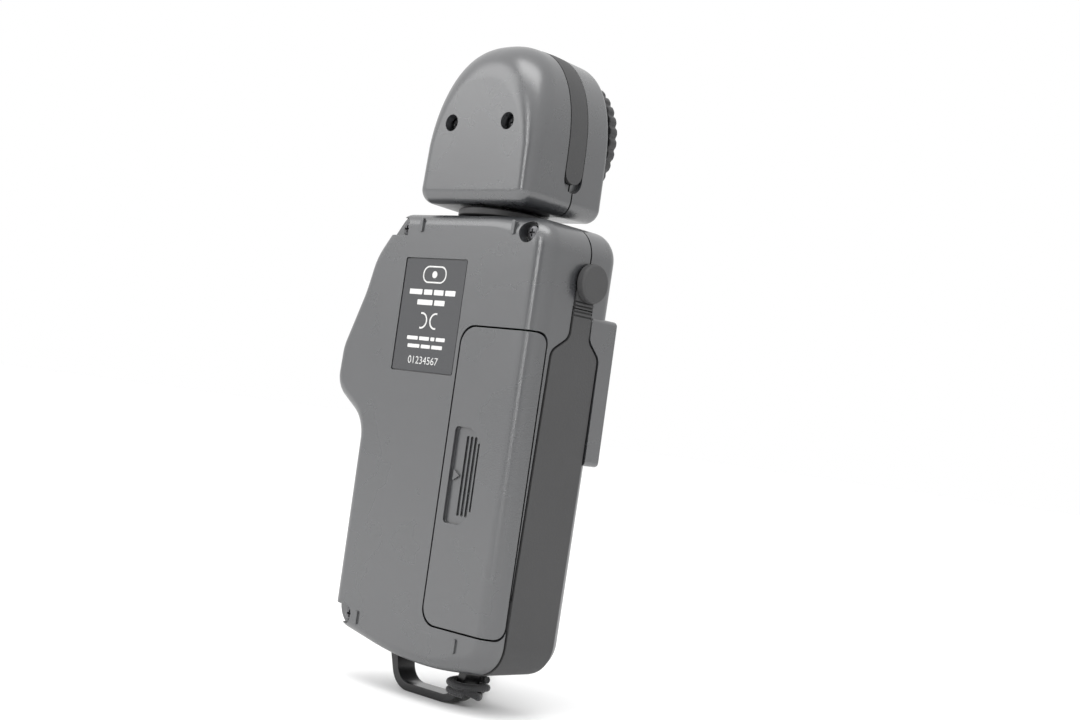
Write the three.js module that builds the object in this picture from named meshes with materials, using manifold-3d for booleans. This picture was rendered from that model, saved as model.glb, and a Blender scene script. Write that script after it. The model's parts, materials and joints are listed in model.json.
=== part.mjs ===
// Handheld light meter with a swivelling receptor head, a battery door on its back and a strap bar
// under it. Millimetres, +Z up. The display side faces -Y and the back faces +Y.
// The head turns about the Z axis, and the underside of the strap bar is at z = 0.
// Heights in this file are measured from the lowest point of the case, CASE_LIFT above that.

import * as THREE from 'three';
import { mergeVertices } from 'three/addons/utils/BufferGeometryUtils.js';
import Module from 'manifold-3d';

const wasm = await Module();
wasm.setup();

// ---------------------------------------------------------------- driving dimensions

const GAP = 0.3;                 // clearance between touching pieces
const SEAM = 0.3;                // width of the parting lines
const ARC_STEP = Math.PI / 12;   // coarsest step round an arc
const ARC_CHORD = 6;             // longest facet on an arc of large radius
const EDGE_STEP = 20;            // longest straight facet along an outline
const SLICE = 0.03;              // cut off each end of a lofted casing
const FAR = 90;                  // beyond every surface
const PRECISION = 0.01;          // detail finer than this is dropped

const CASE_LIFT = 8.8;           // strap bar underside to case bottom
const CASE_TOP = 111;
const CASE_BACK = 13.5;
const CASE_FRONT = -14;
const CASE_WALL = 2;
const PARTING_Y = -2.8;
const SIDE_X = -28.5;            // flat side that carries the rubber grip

// Corners [x, z, radius] of the case seen from the front, counter-clockwise.
const CASE_OUTLINE = [
  [-27.8, 1.9, 8], [-2, -1.1, 100], [28.3, 5.0, 6.5], [28.4, 56.6, 9], [40.3, 64.6, 7.5],
  [39.9, 75.6, 11], [34.1, 90.5, 32], [31.9, 99.6, 16], [23.6, CASE_TOP, 5.2], [SIDE_X, CASE_TOP, 7.5],
];

const HEAD_BOTTOM = 113.5;
const HEAD_TOP = 155.8;
const HEAD_HALF_WIDTH = 19.4;
const HEAD_SPRING = 128.5;       // height where the arch begins
const HEAD_ARCH_POWER = 2.4;     // 2 is an ellipse, larger is squarer
const HEAD_CORNER = 4.2;
const HEAD_BACK = 13.5;
const HEAD_FRONT = -15.6;
const HEAD_WALL = 2.4;
const HEAD_DRAFT = 0.03;         // narrowing per millimetre away from the parting line

const DOOR = { left: -4.63, bottom: 10.5, top: 83.2, lip: 8.8, skin: 1.7, corner: 4.5, slide: 32 };
const LABEL = { x0: -2.8, x1: 18.7, z0: 70.9, z1: 99.3, recess: 0.6, thickness: 0.4 };
const BLOCK = { x0: -28.9, x1: 22, z0: 53.3, z1: 89.6, y0: -15.8, y1: -6.2 };
const WINDOW = { x0: -21.5, x1: 14.5, z0: 57.5, z1: 85, ledge: 1.5, thickness: 1.2 };
const BOARD = { y0: -8.6, y1: -7.2 };

const GRIP = { proud: 0.35, sunk: 1.1, neckTop: 90.6, underEnd: -17.2 };
const CAP = { y: -3.1, z: 97.3, radius: 4.8, x0: -31, x1: -28.8, tabBottom: 90.9 };

const NECK = { radius: 11.5, journal: 8, bore: 3, bottom: 105.4, spigot: 7, top: 118.6 };
const RING = { radius: 18.1, z: 135.4, y0: -19.1, y1: -16, notches: 36, bore: 14.9, sleeve: 12.6 };
const DOME_RADIUS = 14;
const RECEPTOR = { bore: 12.9, floor: -12.2, aperture: 5.5 };

const CASE_SCREWS = [
  { name: 'top_outer', x: 22.1, z: 107.1 },
  { name: 'top_grip', x: -21.4, z: 107.0 },
  { name: 'bottom_outer', x: 23.1, z: 7.6 },
];
const HEAD_SCREWS = [{ name: 'left', x: -9.63 }, { name: 'right', x: 9.63 }];
const HEAD_SCREW_Z = 134.1;
const SCREW = { head: 1.85, headHeight: 1.2, shank: 1, pilot: 1.3 };

const KEYS = [
  { name: 'power_button', x: -17, z: 42.5, width: 8, height: 8 },
  { name: 'mode_button', x: -3, z: 42.5, width: 9.5, height: 5 },
  { name: 'iso_button', x: 11, z: 42.5, width: 9.5, height: 5 },
  { name: 'up_button', x: -3, z: 31.2, width: 9.2, height: 6.8 },
  { name: 'down_button', x: -3, z: 21.3, width: 9.2, height: 6.8 },
  { name: 'memory_button', x: -17, z: 26.5, width: 9.5, height: 5 },
  { name: 'clear_button', x: 11, z: 26.5, width: 9.5, height: 5 },
];
const MEASURE_KEY = { name: 'measure_button', x: 30.2, z: 72, width: 9.5, height: 15 };
const KEY = { face: -14.9, flange: 0.8, flangeFront: -11.7, flangeBack: -10.9 };

const STRAP_BAR = { y0: -1.5, y1: 4.5, thickness: 2, foot: 3.4 };
const CORD = {
  diameter: 1.8,
  pitch: 2.2,
  start: { x: -9.0, y: -5.4 },
  heading: [0.681, -0.732],
  strand: [[0, -4.4], [4, -5.3], [9, -6.8], [15], [25], [35], [45], [54]],
  hank: { length: 34, width: 9.2, height: 5.7, gap: 0.4 },
};

// ---------------------------------------------------------------- solids from three.js geometry

// A geometry as a manifold solid: shared vertices merged, and collapsed triangles dropped.
function toSolid(geometry) {
  const bare = geometry.clone();
  bare.deleteAttribute('normal');
  bare.deleteAttribute('uv');
  const merged = mergeVertices(bare, 1e-4);
  const index = merged.index.array;
  const triangles = [];
  for (let i = 0; i < index.length; i += 3) {
    const [a, b, c] = [index[i], index[i + 1], index[i + 2]];
    if (a !== b && b !== c && c !== a) triangles.push(a, b, c);
  }
  return new wasm.Manifold(new wasm.Mesh({
    numProp: 3,
    vertProperties: new Float32Array(merged.attributes.position.array),
    triVerts: new Uint32Array(triangles),
  }));
}

// A solid as geometry, with its flat faces tidied so that no slivers are left.
function toGeometry(solid) {
  const mesh = solid.asOriginal().simplify(PRECISION).getMesh();
  const geometry = new THREE.BufferGeometry();
  geometry.setAttribute('position', new THREE.BufferAttribute(mesh.vertProperties, 3));
  geometry.setIndex(new THREE.BufferAttribute(mesh.triVerts, 1));
  geometry.computeVertexNormals();
  return geometry;
}

// Samples {x, z, nx, nz} round a closed outline whose corners [x, z, radius] become arcs.
function roundedOutline(corners, edgeStep = Infinity) {
  const samples = [];
  const addStraight = (to) => {
    const from = samples.at(-1);
    const pieces = from ? Math.ceil(Math.hypot(to.x - from.x, to.z - from.z) / edgeStep) : 0;
    for (let i = 1; i < pieces; i += 1) {
      const t = i / pieces;
      samples.push({ ...to, x: from.x + (to.x - from.x) * t, z: from.z + (to.z - from.z) * t });
    }
  };
  corners.forEach(([x, z, radius], i) => {
    const corner = new THREE.Vector2(x, z);
    const [bx, bz] = corners.at(i - 1);
    const [ax, az] = corners[(i + 1) % corners.length];
    const back = new THREE.Vector2(bx, bz).sub(corner).normalize();
    const ahead = new THREE.Vector2(ax, az).sub(corner).normalize();
    const half = Math.acos(THREE.MathUtils.clamp(back.dot(ahead), -1, 1)) / 2;
    const side = Math.sign(-back.cross(ahead));
    const centre = back.clone().add(ahead).normalize().multiplyScalar(radius / Math.sin(half)).add(corner);
    const start = back.clone().multiplyScalar(radius / Math.tan(half)).add(corner).sub(centre).angle();
    const sweep = Math.PI - 2 * half;
    const steps = Math.ceil(Math.max(sweep / ARC_STEP, sweep * radius / ARC_CHORD));
    for (let k = 0; k <= steps; k += 1) {
      const angle = start + side * sweep * k / steps;
      const sample = {
        x: centre.x + radius * Math.cos(angle),
        z: centre.y + radius * Math.sin(angle),
        nx: side * Math.cos(angle),
        nz: side * Math.sin(angle),
      };
      if (k === 0) addStraight(sample);
      samples.push(sample);
    }
  });
  return samples;
}

// A closed solid through rings of equal length, from the back (+Y) to the front (-Y). Each flat end is
// a fan about its middle.
function loft(rings) {
  const count = rings[0].length;
  const positions = rings.flat().flatMap((point) => point.toArray());
  const triangles = [];
  for (let ring = 0; ring + 1 < rings.length; ring += 1) {
    for (let i = 0; i < count; i += 1) {
      const a = ring * count + i;
      const b = ring * count + (i + 1) % count;
      triangles.push(a, b, b + count, a, b + count, a + count);
    }
  }
  const addCap = (first, ring, order) => {
    const hub = ring.reduce((sum, point) => sum.add(point), new THREE.Vector3()).divideScalar(count);
    const hubIndex = positions.length / 3;
    positions.push(...hub.toArray());
    for (let i = 0; i < count; i += 1) {
      const edge = [first + i, first + (i + 1) % count];
      triangles.push(hubIndex, edge[order], edge[1 - order]);
    }
  };
  addCap(0, rings[0], 1);
  addCap((rings.length - 1) * count, rings.at(-1), 0);
  const geometry = new THREE.BufferGeometry();
  geometry.setAttribute('position', new THREE.Float32BufferAttribute(positions, 3));
  geometry.setIndex(triangles);
  return toSolid(geometry);
}

// A casing volume: an outline given a rounded edge at its back and at its front. A positive inset
// gives the same volume offset inwards, and a negative one offsets it outwards. The loft is made a
// little too deep and sliced off, which leaves its two ends perfectly flat.
function casing(sides, inset, backSteps = 5, frontSteps = 3) {
  const { outline, backFillet, frontFillet, draft } = sides;
  const back = sides.back + SLICE;
  const front = sides.front - SLICE;
  const ring = (y, shrink) => outline.map((s, i) => {
    const depth = y(i);
    const amount = inset + shrink(i) + draft * Math.abs(depth - PARTING_Y);
    return new THREE.Vector3(s.x - s.nx * amount, depth, s.z - s.nz * amount);
  });
  const quarter = (steps) => Array.from({ length: steps + 1 }, (_, k) => (Math.PI / 2) * k / steps);
  const radii = (fillet) => outline.map((s) => Math.max(fillet(s) - inset, 0.5));
  const backRadii = radii(backFillet);
  const frontRadii = radii(frontFillet);
  const backRings = quarter(backSteps).map((a) => ring(
    (i) => back - inset - backRadii[i] * (1 - Math.cos(a)),
    (i) => backRadii[i] * (1 - Math.sin(a)),
  ));
  const frontRings = quarter(frontSteps).map((a) => ring(
    (i) => front + inset + frontRadii[i] * (1 - Math.cos(a)),
    (i) => frontRadii[i] * (1 - Math.sin(a)),
  )).reverse();
  const waist = draft > 0 ? [ring(() => PARTING_Y, () => 0)] : [];
  const slices = box(-FAR, FAR, sides.front + inset, sides.back - inset, -FAR, 2 * FAR);
  return loft([...backRings, ...waist, ...frontRings]).intersect(slices);
}

const planar = (corners) => new THREE.Shape(
  roundedOutline(corners).map((s) => new THREE.Vector2(s.x, s.z)),
);

const rectangle = (a0, a1, b0, b1, radius) => [
  [a0, b0, radius], [a1, b0, radius], [a1, b1, radius], [a0, b1, radius],
];

// Prisms: an outline in XZ pushed along Y, one in YZ pushed along X, and one in XY pushed along Z.
function prismY(corners, y0, y1) {
  const geometry = new THREE.ExtrudeGeometry(planar(corners), { depth: y1 - y0, bevelEnabled: false });
  return toSolid(geometry.rotateX(Math.PI / 2).translate(0, y1, 0));
}

function prismX(corners, x0, x1) {
  const geometry = new THREE.ExtrudeGeometry(planar(corners), { depth: x1 - x0, bevelEnabled: false });
  return toSolid(geometry.rotateX(Math.PI / 2).rotateZ(Math.PI / 2).translate(x0, 0, 0));
}

function box(x0, x1, y0, y1, z0, z1) {
  const geometry = new THREE.BoxGeometry(x1 - x0, y1 - y0, z1 - z0);
  return toSolid(geometry.translate((x0 + x1) / 2, (y0 + y1) / 2, (z0 + z1) / 2));
}

function rodY(x, z, radius, y0, y1, segments = 24) {
  const geometry = new THREE.CylinderGeometry(radius, radius, y1 - y0, segments);
  return toSolid(geometry.translate(x, (y0 + y1) / 2, z));
}

function rodX(y, z, radius, x0, x1, segments = 24) {
  const geometry = new THREE.CylinderGeometry(radius, radius, x1 - x0, segments);
  return toSolid(geometry.rotateZ(Math.PI / 2).translate((x0 + x1) / 2, y, z));
}

function rodZ(x, y, radius, z0, z1, segments = 24) {
  const geometry = new THREE.CylinderGeometry(radius, radius, z1 - z0, segments);
  return toSolid(geometry.rotateX(Math.PI / 2).translate(x, y, (z0 + z1) / 2));
}

// A turned piece: profile points [radius, height] about the Y axis, closing on themselves.
function turned(profile, segments) {
  const points = [...profile, profile[0]].map(([r, y]) => new THREE.Vector2(r, y));
  return toSolid(new THREE.LatheGeometry(points, segments));
}

const turnedZ = (profile, segments) => toSolid(toGeometry(turned(profile, segments)).rotateX(Math.PI / 2));

const place = (solid, x, y, z) => toSolid(toGeometry(solid).translate(x, y, z));

// ---------------------------------------------------------------- materials

const plastic = (color, roughness) => new THREE.MeshStandardMaterial({ color, roughness, metalness: 0 });
const metal = (color, roughness) => new THREE.MeshStandardMaterial({ color, roughness, metalness: 1 });

const casePlastic = plastic('#6b6c6e', 0.48);
const gripRubber = plastic('#4c4c4d', 0.75);
const darkPlastic = plastic('#38393b', 0.5);
const barPlastic = plastic('#242426', 0.35);
const labelFoil = plastic('#565759', 0.5);
const keyPlastic = plastic('#86888b', 0.5);
const measureKeyPlastic = plastic('#3b4f63', 0.45);
const windowAcrylic = plastic('#a9b1ae', 0.08);
const lcdGlass = plastic('#8f9a86', 0.2);
const domeOpal = plastic('#f2f1ec', 0.4);
const filterGlass = plastic('#5f8fa3', 0.08);
const boardFibre = plastic('#2f6a45', 0.5);
const matSilicone = plastic('#9a9a98', 0.7);
const trayPlastic = plastic('#1f1f20', 0.5);
const cellJacket = plastic('#b08b45', 0.35);
const cordNylon = plastic('#151516', 0.8);
const leadPlastic = plastic('#5a5a5c', 0.6);
const screwSteel = metal('#3a3a3c', 0.4);
const springSteel = metal('#c4c6c8', 0.3);
const socketMetal = metal('#c9c4b4', 0.3);

// ---------------------------------------------------------------- the scene graph

const lightMeter = new THREE.Group();
const meter = new THREE.Group();
meter.position.z = CASE_LIFT;
lightMeter.add(meter);

function addPart(name, solid, material, parent = meter) {
  const mesh = new THREE.Mesh(toGeometry(solid), material);
  mesh.name = name;
  parent.add(mesh);
  return mesh;
}

// ---------------------------------------------------------------- casing volumes

// The back edge is rounder on the grip side than round the rest of the case.
const caseSides = {
  outline: roundedOutline(CASE_OUTLINE, EDGE_STEP),
  back: CASE_BACK,
  front: CASE_FRONT,
  backFillet: (s) => 3.1 + 2 * THREE.MathUtils.smoothstep(-s.x, 8, 24),
  frontFillet: (s) => 4 + 2 * (1 - THREE.MathUtils.smoothstep(s.z, 4, 20)),
  draft: 0,
};

// The head is an arch on straight sides. Its back edge gets rounder towards the top.
function headOutline() {
  const arch = 26;
  const samples = roundedOutline([
    [-HEAD_HALF_WIDTH, HEAD_BOTTOM, HEAD_CORNER], [HEAD_HALF_WIDTH, HEAD_BOTTOM, HEAD_CORNER],
    [HEAD_HALF_WIDTH, HEAD_SPRING, 0.01], [-HEAD_HALF_WIDTH, HEAD_SPRING, 0.01],
  ]).filter((s) => s.z < HEAD_SPRING - 1);
  const rise = HEAD_TOP - HEAD_SPRING;
  const curve = (t) => [
    HEAD_HALF_WIDTH * Math.sign(Math.cos(t)) * Math.abs(Math.cos(t)) ** (2 / HEAD_ARCH_POWER),
    HEAD_SPRING + rise * Math.max(Math.sin(t), 0) ** (2 / HEAD_ARCH_POWER),
  ];
  for (let i = 0; i <= arch; i += 1) {
    const t = Math.PI * i / arch;
    const [x, z] = curve(t);
    const nx = Math.sign(x) * Math.abs(x / HEAD_HALF_WIDTH) ** (HEAD_ARCH_POWER - 1) / HEAD_HALF_WIDTH;
    const nz = ((z - HEAD_SPRING) / rise) ** (HEAD_ARCH_POWER - 1) / rise;
    const length = Math.hypot(nx, nz);
    samples.push({ x, z, nx: nx / length, nz: nz / length });
  }
  const start = samples.findIndex((s) => s.x > 0);
  return [...samples.slice(start), ...samples.slice(0, start)];
}

const headSides = {
  outline: headOutline(),
  back: HEAD_BACK,
  front: HEAD_FRONT,
  backFillet: (s) => 3.3 + 7.2 * THREE.MathUtils.smoothstep(s.z, 120, HEAD_TOP + 4),
  frontFillet: () => 2.2,
  draft: HEAD_DRAFT,
};

const caseOuter = casing(caseSides, 0);
const caseInner = casing(caseSides, CASE_WALL, 2, 2);
const headOuter = casing(headSides, 0);
const headInner = casing(headSides, HEAD_WALL, 2, 2);

const backHalf = (low) => box(-FAR, FAR, PARTING_Y + SEAM / 2, FAR, low - FAR, low + FAR);
const frontHalf = (low) => box(-FAR, FAR, -FAR, PARTING_Y - SEAM / 2, low - FAR, low + FAR);
const caseMiddle = CASE_TOP / 2;
const headMiddle = (HEAD_BOTTOM + HEAD_TOP) / 2;

// ---------------------------------------------------------------- shared cutters

// The rubber side panel seen along X, in [y, z, radius], with its narrow neck up to the sync cap.
const gripCorners = (extra) => [
  [-8.6 - extra, -20, 1], [8.1 + extra, -20, 1], [7.9 + extra, 20, 90], [6.75 + extra, 79.5 + extra / 2, 3],
  [0.95 + extra, 83.4 + extra / 2, 3], [0.95 + extra, GRIP.neckTop + extra, 0.2],
  [-5.65 - extra, GRIP.neckTop + extra, 0.2], [-5.65 - extra, 83.4 + extra / 2, 3],
  [-10 - extra, 79.5 + extra / 2, 3], [-10 - extra, 55, 90],
];

const gripSeat = prismX(gripCorners(GAP), -FAR, GRIP.underEnd + GAP)
  .subtract(casing(caseSides, GRIP.sunk + GAP, 3, 2));
const capTabSeat = box(-FAR, SIDE_X + GRIP.sunk + GAP, -5.95, 1.25, GRIP.neckTop - 1, 95.4);
const socketBore = rodX(CAP.y, CAP.z, 3.9, -FAR, SIDE_X + 6);
const neckBore = rodZ(0, 0, NECK.journal + GAP, CASE_TOP - 6, CASE_TOP + 2, 32);

const doorFace = (extra) => prismY([
  [-FAR, DOOR.bottom - extra, 1], [DOOR.left + extra, DOOR.bottom - extra, DOOR.corner],
  [DOOR.left + extra, DOOR.top + extra, DOOR.corner], [-FAR, DOOR.top + extra, 1],
], 0, FAR);
const doorLip = (extra) => prismX([
  [DOOR.lip - extra, DOOR.bottom - extra, 3], [FAR, DOOR.bottom - extra, 1],
  [FAR, DOOR.top + extra, 1], [DOOR.lip - extra, DOOR.top + extra, 3],
], -FAR, FAR);

// ---------------------------------------------------------------- back cover and battery door

function backCover() {
  const bosses = CASE_SCREWS.map(({ x, z }) => rodY(x, z, 3.6, PARTING_Y + SEAM / 2, CASE_BACK)
    .intersect(caseOuter));
  const footBars = [[18.5, 7.4], [-16.6, 7], [14.9, 107.9], [-16.9, 107.9]]
    .map(([x, z]) => rectangle(x - 0.55, x + 0.55, z - 1.8, z + 1.8, 0.5))
    .map((outline) => prismY(outline, CASE_BACK - 3, CASE_BACK + 0.5));
  const pockets = [
    prismY([[19.8, 105.2, 0.3], [40, 105.2, 1], [40, 110, 1], [19.8, 110, 2.3]], 10.4, FAR),
    rodY(-21.4, 107, 2.7, 10.4, FAR),
    prismY([[20.8, 5.2, 2.2], [40, 5.2, 1], [40, 9.9, 1], [20.8, 9.9, 2.2]], 10.4, FAR),
  ];
  const pilots = CASE_SCREWS.map(({ x, z }) => rodY(x, z, SCREW.pilot, -FAR, FAR, 16));
  const labelSeat = prismY(
    rectangle(LABEL.x0 - 0.25, LABEL.x1 + 0.25, LABEL.z0 - 0.25, LABEL.z1 + 0.25, 0.5),
    CASE_BACK - LABEL.recess, FAR,
  );
  const barSlots = [-1, 1].map((side) => box(
    Math.min(side * 10.6, side * 15.8), Math.max(side * 10.6, side * 15.8),
    STRAP_BAR.y0 - GAP, STRAP_BAR.y1 + GAP, -4, 4,
  ));
  let cover = caseOuter.subtract(caseInner).intersect(backHalf(caseMiddle));
  [...bosses, ...footBars].forEach((piece) => { cover = cover.add(piece); });
  const doorway = doorFace(GAP).intersect(doorLip(GAP));
  [...pockets, ...pilots, labelSeat, ...barSlots, doorway, gripSeat, capTabSeat, socketBore, neckBore]
    .forEach((cutter) => { cover = cover.subtract(cutter); });
  return cover;
}

// The door wraps round the back edge onto the side. A sunk thumb grip has four grooves and an arrow.
function batteryDoor() {
  const skin = caseOuter.subtract(casing(caseSides, DOOR.skin, 3, 2));
  let door = skin.intersect(doorFace(0)).intersect(doorLip(0));
  const grip = prismY([
    [-15.8, 38.3, 0.8], [-12.2, 35.3, 1], [-6.9, 35.3, 1],
    [-6.9, 58.8, 1], [-12.2, 58.8, 1], [-15.8, 55.9, 0.8],
  ], CASE_BACK - 0.8, FAR);
  door = door.subtract(grip);
  for (let i = 0; i < 4; i += 1) {
    const x = -15 + i * 1.3;
    const shortened = i === 0 ? 1.4 : 0;
    door = door.subtract(box(x, x + 0.55, CASE_BACK - 1.3, FAR, 37.6 + shortened, 56.6 - shortened));
  }
  const arrowOutline = [[-9.9, 47, 0.1], [-7.9, 45.6, 0.1], [-7.9, 48.4, 0.1]];
  const arrow = prismY(arrowOutline, CASE_BACK - 1, CASE_BACK - 0.35);
  return door.add(arrow);
}

addPart('back_cover', backCover(), casePlastic);
addPart('battery_door', batteryDoor(), casePlastic);
addPart('rating_label', prismY(
  rectangle(LABEL.x0, LABEL.x1, LABEL.z0, LABEL.z1, 0.4),
  CASE_BACK - LABEL.recess + 0.1, CASE_BACK - LABEL.recess + 0.1 + LABEL.thickness,
), labelFoil);

// ---------------------------------------------------------------- front cover

const keyHole = ({ x, z, width, height }, extra) => rectangle(
  x - width / 2 - extra, x + width / 2 + extra, z - height / 2 - extra, z + height / 2 + extra,
  Math.min(width, height) / 2 + extra - 0.05,
);

function frontCover() {
  const block = prismY(rectangle(BLOCK.x0, BLOCK.x1, BLOCK.z0, BLOCK.z1, 1.2), BLOCK.y0, BLOCK.y1);
  const blockHollow = prismY(
    rectangle(-24, BLOCK.x1 - 2, BLOCK.z0 + 2, BLOCK.z1 - 2, 1), BLOCK.y0 + 2.6, BLOCK.y1 + 1,
  );
  const windowSeat = prismY(
    rectangle(WINDOW.x0 - GAP, WINDOW.x1 + GAP, WINDOW.z0 - GAP, WINDOW.z1 + GAP, 1.5),
    -FAR, BLOCK.y0 + WINDOW.thickness + 0.5,
  );
  const { ledge } = WINDOW;
  const windowOpening = prismY(
    rectangle(WINDOW.x0 + ledge, WINDOW.x1 - ledge, WINDOW.z0 + ledge, WINDOW.z1 - ledge, 1), -FAR, -10,
  );
  const bosses = CASE_SCREWS.map(({ x, z }) => rodY(x, z, 3, CASE_FRONT + 1, PARTING_Y - SEAM / 2 - 0.2)
    .intersect(caseOuter));
  const pilots = CASE_SCREWS.map(({ x, z }) => rodY(x, z, SCREW.pilot, -9.6, FAR, 16));
  let cover = caseOuter.add(block).subtract(caseInner).subtract(blockHollow).intersect(frontHalf(caseMiddle));
  bosses.forEach((boss) => { cover = cover.add(boss); });
  const keyHoles = [...KEYS, MEASURE_KEY].map((key) => prismY(keyHole(key, GAP), -FAR, -11));
  [...pilots, windowSeat, windowOpening, ...keyHoles, gripSeat, capTabSeat, socketBore, neckBore]
    .forEach((cutter) => { cover = cover.subtract(cutter); });
  return cover;
}

addPart('front_cover', frontCover(), casePlastic);
addPart('display_window', prismY(
  rectangle(WINDOW.x0, WINDOW.x1, WINDOW.z0, WINDOW.z1, 1.3),
  BLOCK.y0 + 0.2, BLOCK.y0 + 0.2 + WINDOW.thickness,
), windowAcrylic);
addPart('lcd_module', box(-19.6, 12.6, -12.7, -9.2, 59.5, 83), lcdGlass);

// ---------------------------------------------------------------- buttons, key mat and boards

function keySolid(key) {
  const cap = prismY(keyHole(key, 0), KEY.face, KEY.flangeFront + 0.2);
  const flange = prismY(keyHole(key, KEY.flange), KEY.flangeFront, KEY.flangeBack);
  return cap.add(flange);
}

KEYS.forEach((key) => addPart(key.name, keySolid(key), keyPlastic));
addPart(MEASURE_KEY.name, keySolid(MEASURE_KEY), measureKeyPlastic);

function keyMat() {
  let mat = prismY(rectangle(-23.5, 17.5, 16, 48.5, 2), -9.6, -9);
  KEYS.forEach(({ x, z }) => { mat = mat.add(rodY(x, z, 1.8, -10.2, -9.3, 10)); });
  return mat;
}

function mainBoard() {
  return prismY([
    [-24.6, 6, 1], [18.2, 6, 1], [18.2, 12, 1], [25, 14, 1], [25, 60, 1], [34, 65, 1], [34, 79, 1],
    [27, 92, 1], [25, 101, 1], [-16, 101, 1], [-16, 96, 1], [-24.6, 93, 1],
  ], BOARD.y0, BOARD.y1);
}

addPart('key_mat', keyMat(), matSilicone);
addPart('main_board', mainBoard(), boardFibre);
addPart('measure_switch', box(26.4, 33, -10.1, BOARD.y0 - 0.2, 68.7, 75.3), trayPlastic);
addPart('processor_chip', box(2, 16, BOARD.y1 + 0.2, BOARD.y1 + 2, 60, 74), trayPlastic);

// ---------------------------------------------------------------- battery bay

const CELL = { x: -16.1, y: 1.9, radius: 7.2, bottom: 25.2, top: 75.7 };

function batteryTray() {
  const outer = box(-25.5, -6.7, -6.8, 10.2, 17, 79);
  const inner = box(-24.4, -7.8, -5.7, 12, 18.1, 77.9);
  return outer.subtract(inner);
}

// One AA cell: a can with a step down to its positive button.
function batteryCell() {
  const can = rodZ(CELL.x, CELL.y, CELL.radius, CELL.bottom, CELL.top - 1, 32);
  return can.add(rodZ(CELL.x, CELL.y, 2.75, CELL.top - 1.2, CELL.top, 20));
}

class Helix extends THREE.Curve {
  constructor(radius, pitch, turns) {
    super();
    Object.assign(this, { radius, pitch, turns });
  }

  getPoint(t, target = new THREE.Vector3()) {
    const angle = 2 * Math.PI * this.turns * t;
    const x = this.radius * Math.cos(angle);
    const y = this.radius * Math.sin(angle);
    return target.set(x, y, this.pitch * this.turns * t);
  }
}

const circleShape = (radius, sides) => new THREE.Shape(Array.from({ length: sides }, (_, i) => {
  const angle = 2 * Math.PI * i / sides;
  return new THREE.Vector2(radius * Math.cos(angle), radius * Math.sin(angle));
}));

function batterySpring() {
  const turns = 4;
  const wire = 0.35;
  const path = new Helix(3.4, 1.35, turns);
  const coil = new THREE.ExtrudeGeometry(circleShape(wire, 6), {
    steps: turns * 12, bevelEnabled: false, extrudePath: path,
  });
  return toSolid(coil.translate(CELL.x, CELL.y, 18.9));
}

addPart('battery_tray', batteryTray(), trayPlastic);
addPart('battery_cell', batteryCell(), cellJacket);
addPart('battery_spring', batterySpring(), springSteel);
addPart('battery_contact', box(-20.6, -11.6, -2.5, 6.3, 76.1, 77.4), springSteel);

// ---------------------------------------------------------------- side grip, sync cap and socket

function gripRibs(z0) {
  return [0, 1].map((i) => box(-FAR, SIDE_X - GRIP.proud + 0.45, -7, 3, z0 + i * 0.95, z0 + i * 0.95 + 0.4));
}

function sideGrip() {
  const skin = casing(caseSides, -GRIP.proud).subtract(casing(caseSides, GRIP.sunk, 3, 2));
  let grip = skin.intersect(prismX(gripCorners(0), -FAR, GRIP.underEnd));
  gripRibs(88.9).forEach((rib) => { grip = grip.subtract(rib); });
  return grip;
}

function syncCap() {
  const tab = box(SIDE_X - GRIP.proud, SIDE_X + GRIP.sunk, -5.65, 0.95, CAP.tabBottom, 95.1);
  let cap = tab.subtract(rodX(CAP.y, CAP.z, 4.3, SIDE_X, 0));
  gripRibs(91.3).forEach((rib) => { cap = cap.subtract(rib); });
  const disc = prismX(rectangle(
    CAP.y - CAP.radius, CAP.y + CAP.radius, CAP.z - CAP.radius, CAP.z + CAP.radius, CAP.radius - 0.02,
  ), CAP.x0 + 0.4, CAP.x1);
  const crown = rodX(CAP.y, CAP.z, CAP.radius - 0.4, CAP.x0, CAP.x0 + 0.6, 28);
  return cap.add(disc).add(crown);
}

function syncSocket() {
  const flange = rodX(CAP.y, CAP.z, 3.6, -28.3, -21.5);
  return flange.subtract(rodX(CAP.y, CAP.z, 2.9, -FAR, -23));
}

addPart('side_grip', sideGrip(), gripRubber);
addPart('sync_cap', syncCap(), gripRubber);
addPart('sync_socket', syncSocket(), socketMetal);
addPart('sync_insulator', rodX(CAP.y, CAP.z, 2.5, -26.6, -23.3).subtract(rodX(CAP.y, CAP.z, 0.9, -FAR, FAR)),
  trayPlastic);
addPart('sync_pin', rodX(CAP.y, CAP.z, 0.6, -27.8, -23.3, 16), socketMetal);

// ---------------------------------------------------------------- swivel

// The neck turns in the top of the case and carries the head. Its middle disc shows between them.
function swivelNeck() {
  const { radius, journal, bore, bottom, spigot, top } = NECK;
  return turnedZ([
    [bore, bottom], [journal, bottom], [journal, bottom + 1.2], [6.2, bottom + 1.2], [6.2, bottom + 2.8],
    [journal, bottom + 2.8], [journal, CASE_TOP + GAP], [radius, CASE_TOP + GAP],
    [radius, HEAD_BOTTOM - GAP], [spigot, HEAD_BOTTOM - GAP], [spigot, top], [bore, top],
  ], 28);
}

const flatRing = (inner, outer, z0, z1) => turnedZ([[inner, z0], [outer, z0], [outer, z1], [inner, z1]], 32);

addPart('swivel_neck', swivelNeck(), darkPlastic);
addPart('neck_retaining_ring', flatRing(6.5, 10.4, NECK.bottom + 1.5, NECK.bottom + 2.5)
  .subtract(box(-2, 2, 0, 20, 90, 120)), springSteel);
const clampBottom = HEAD_BOTTOM + HEAD_WALL + 0.7;
addPart('head_clamp_ring', flatRing(NECK.spigot + GAP, 9.8, clampBottom, 118.5), darkPlastic);
addPart('sensor_lead', rodZ(0, 0, 1.3, 103, 122, 12), leadPlastic);

// ---------------------------------------------------------------- head shells

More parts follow.
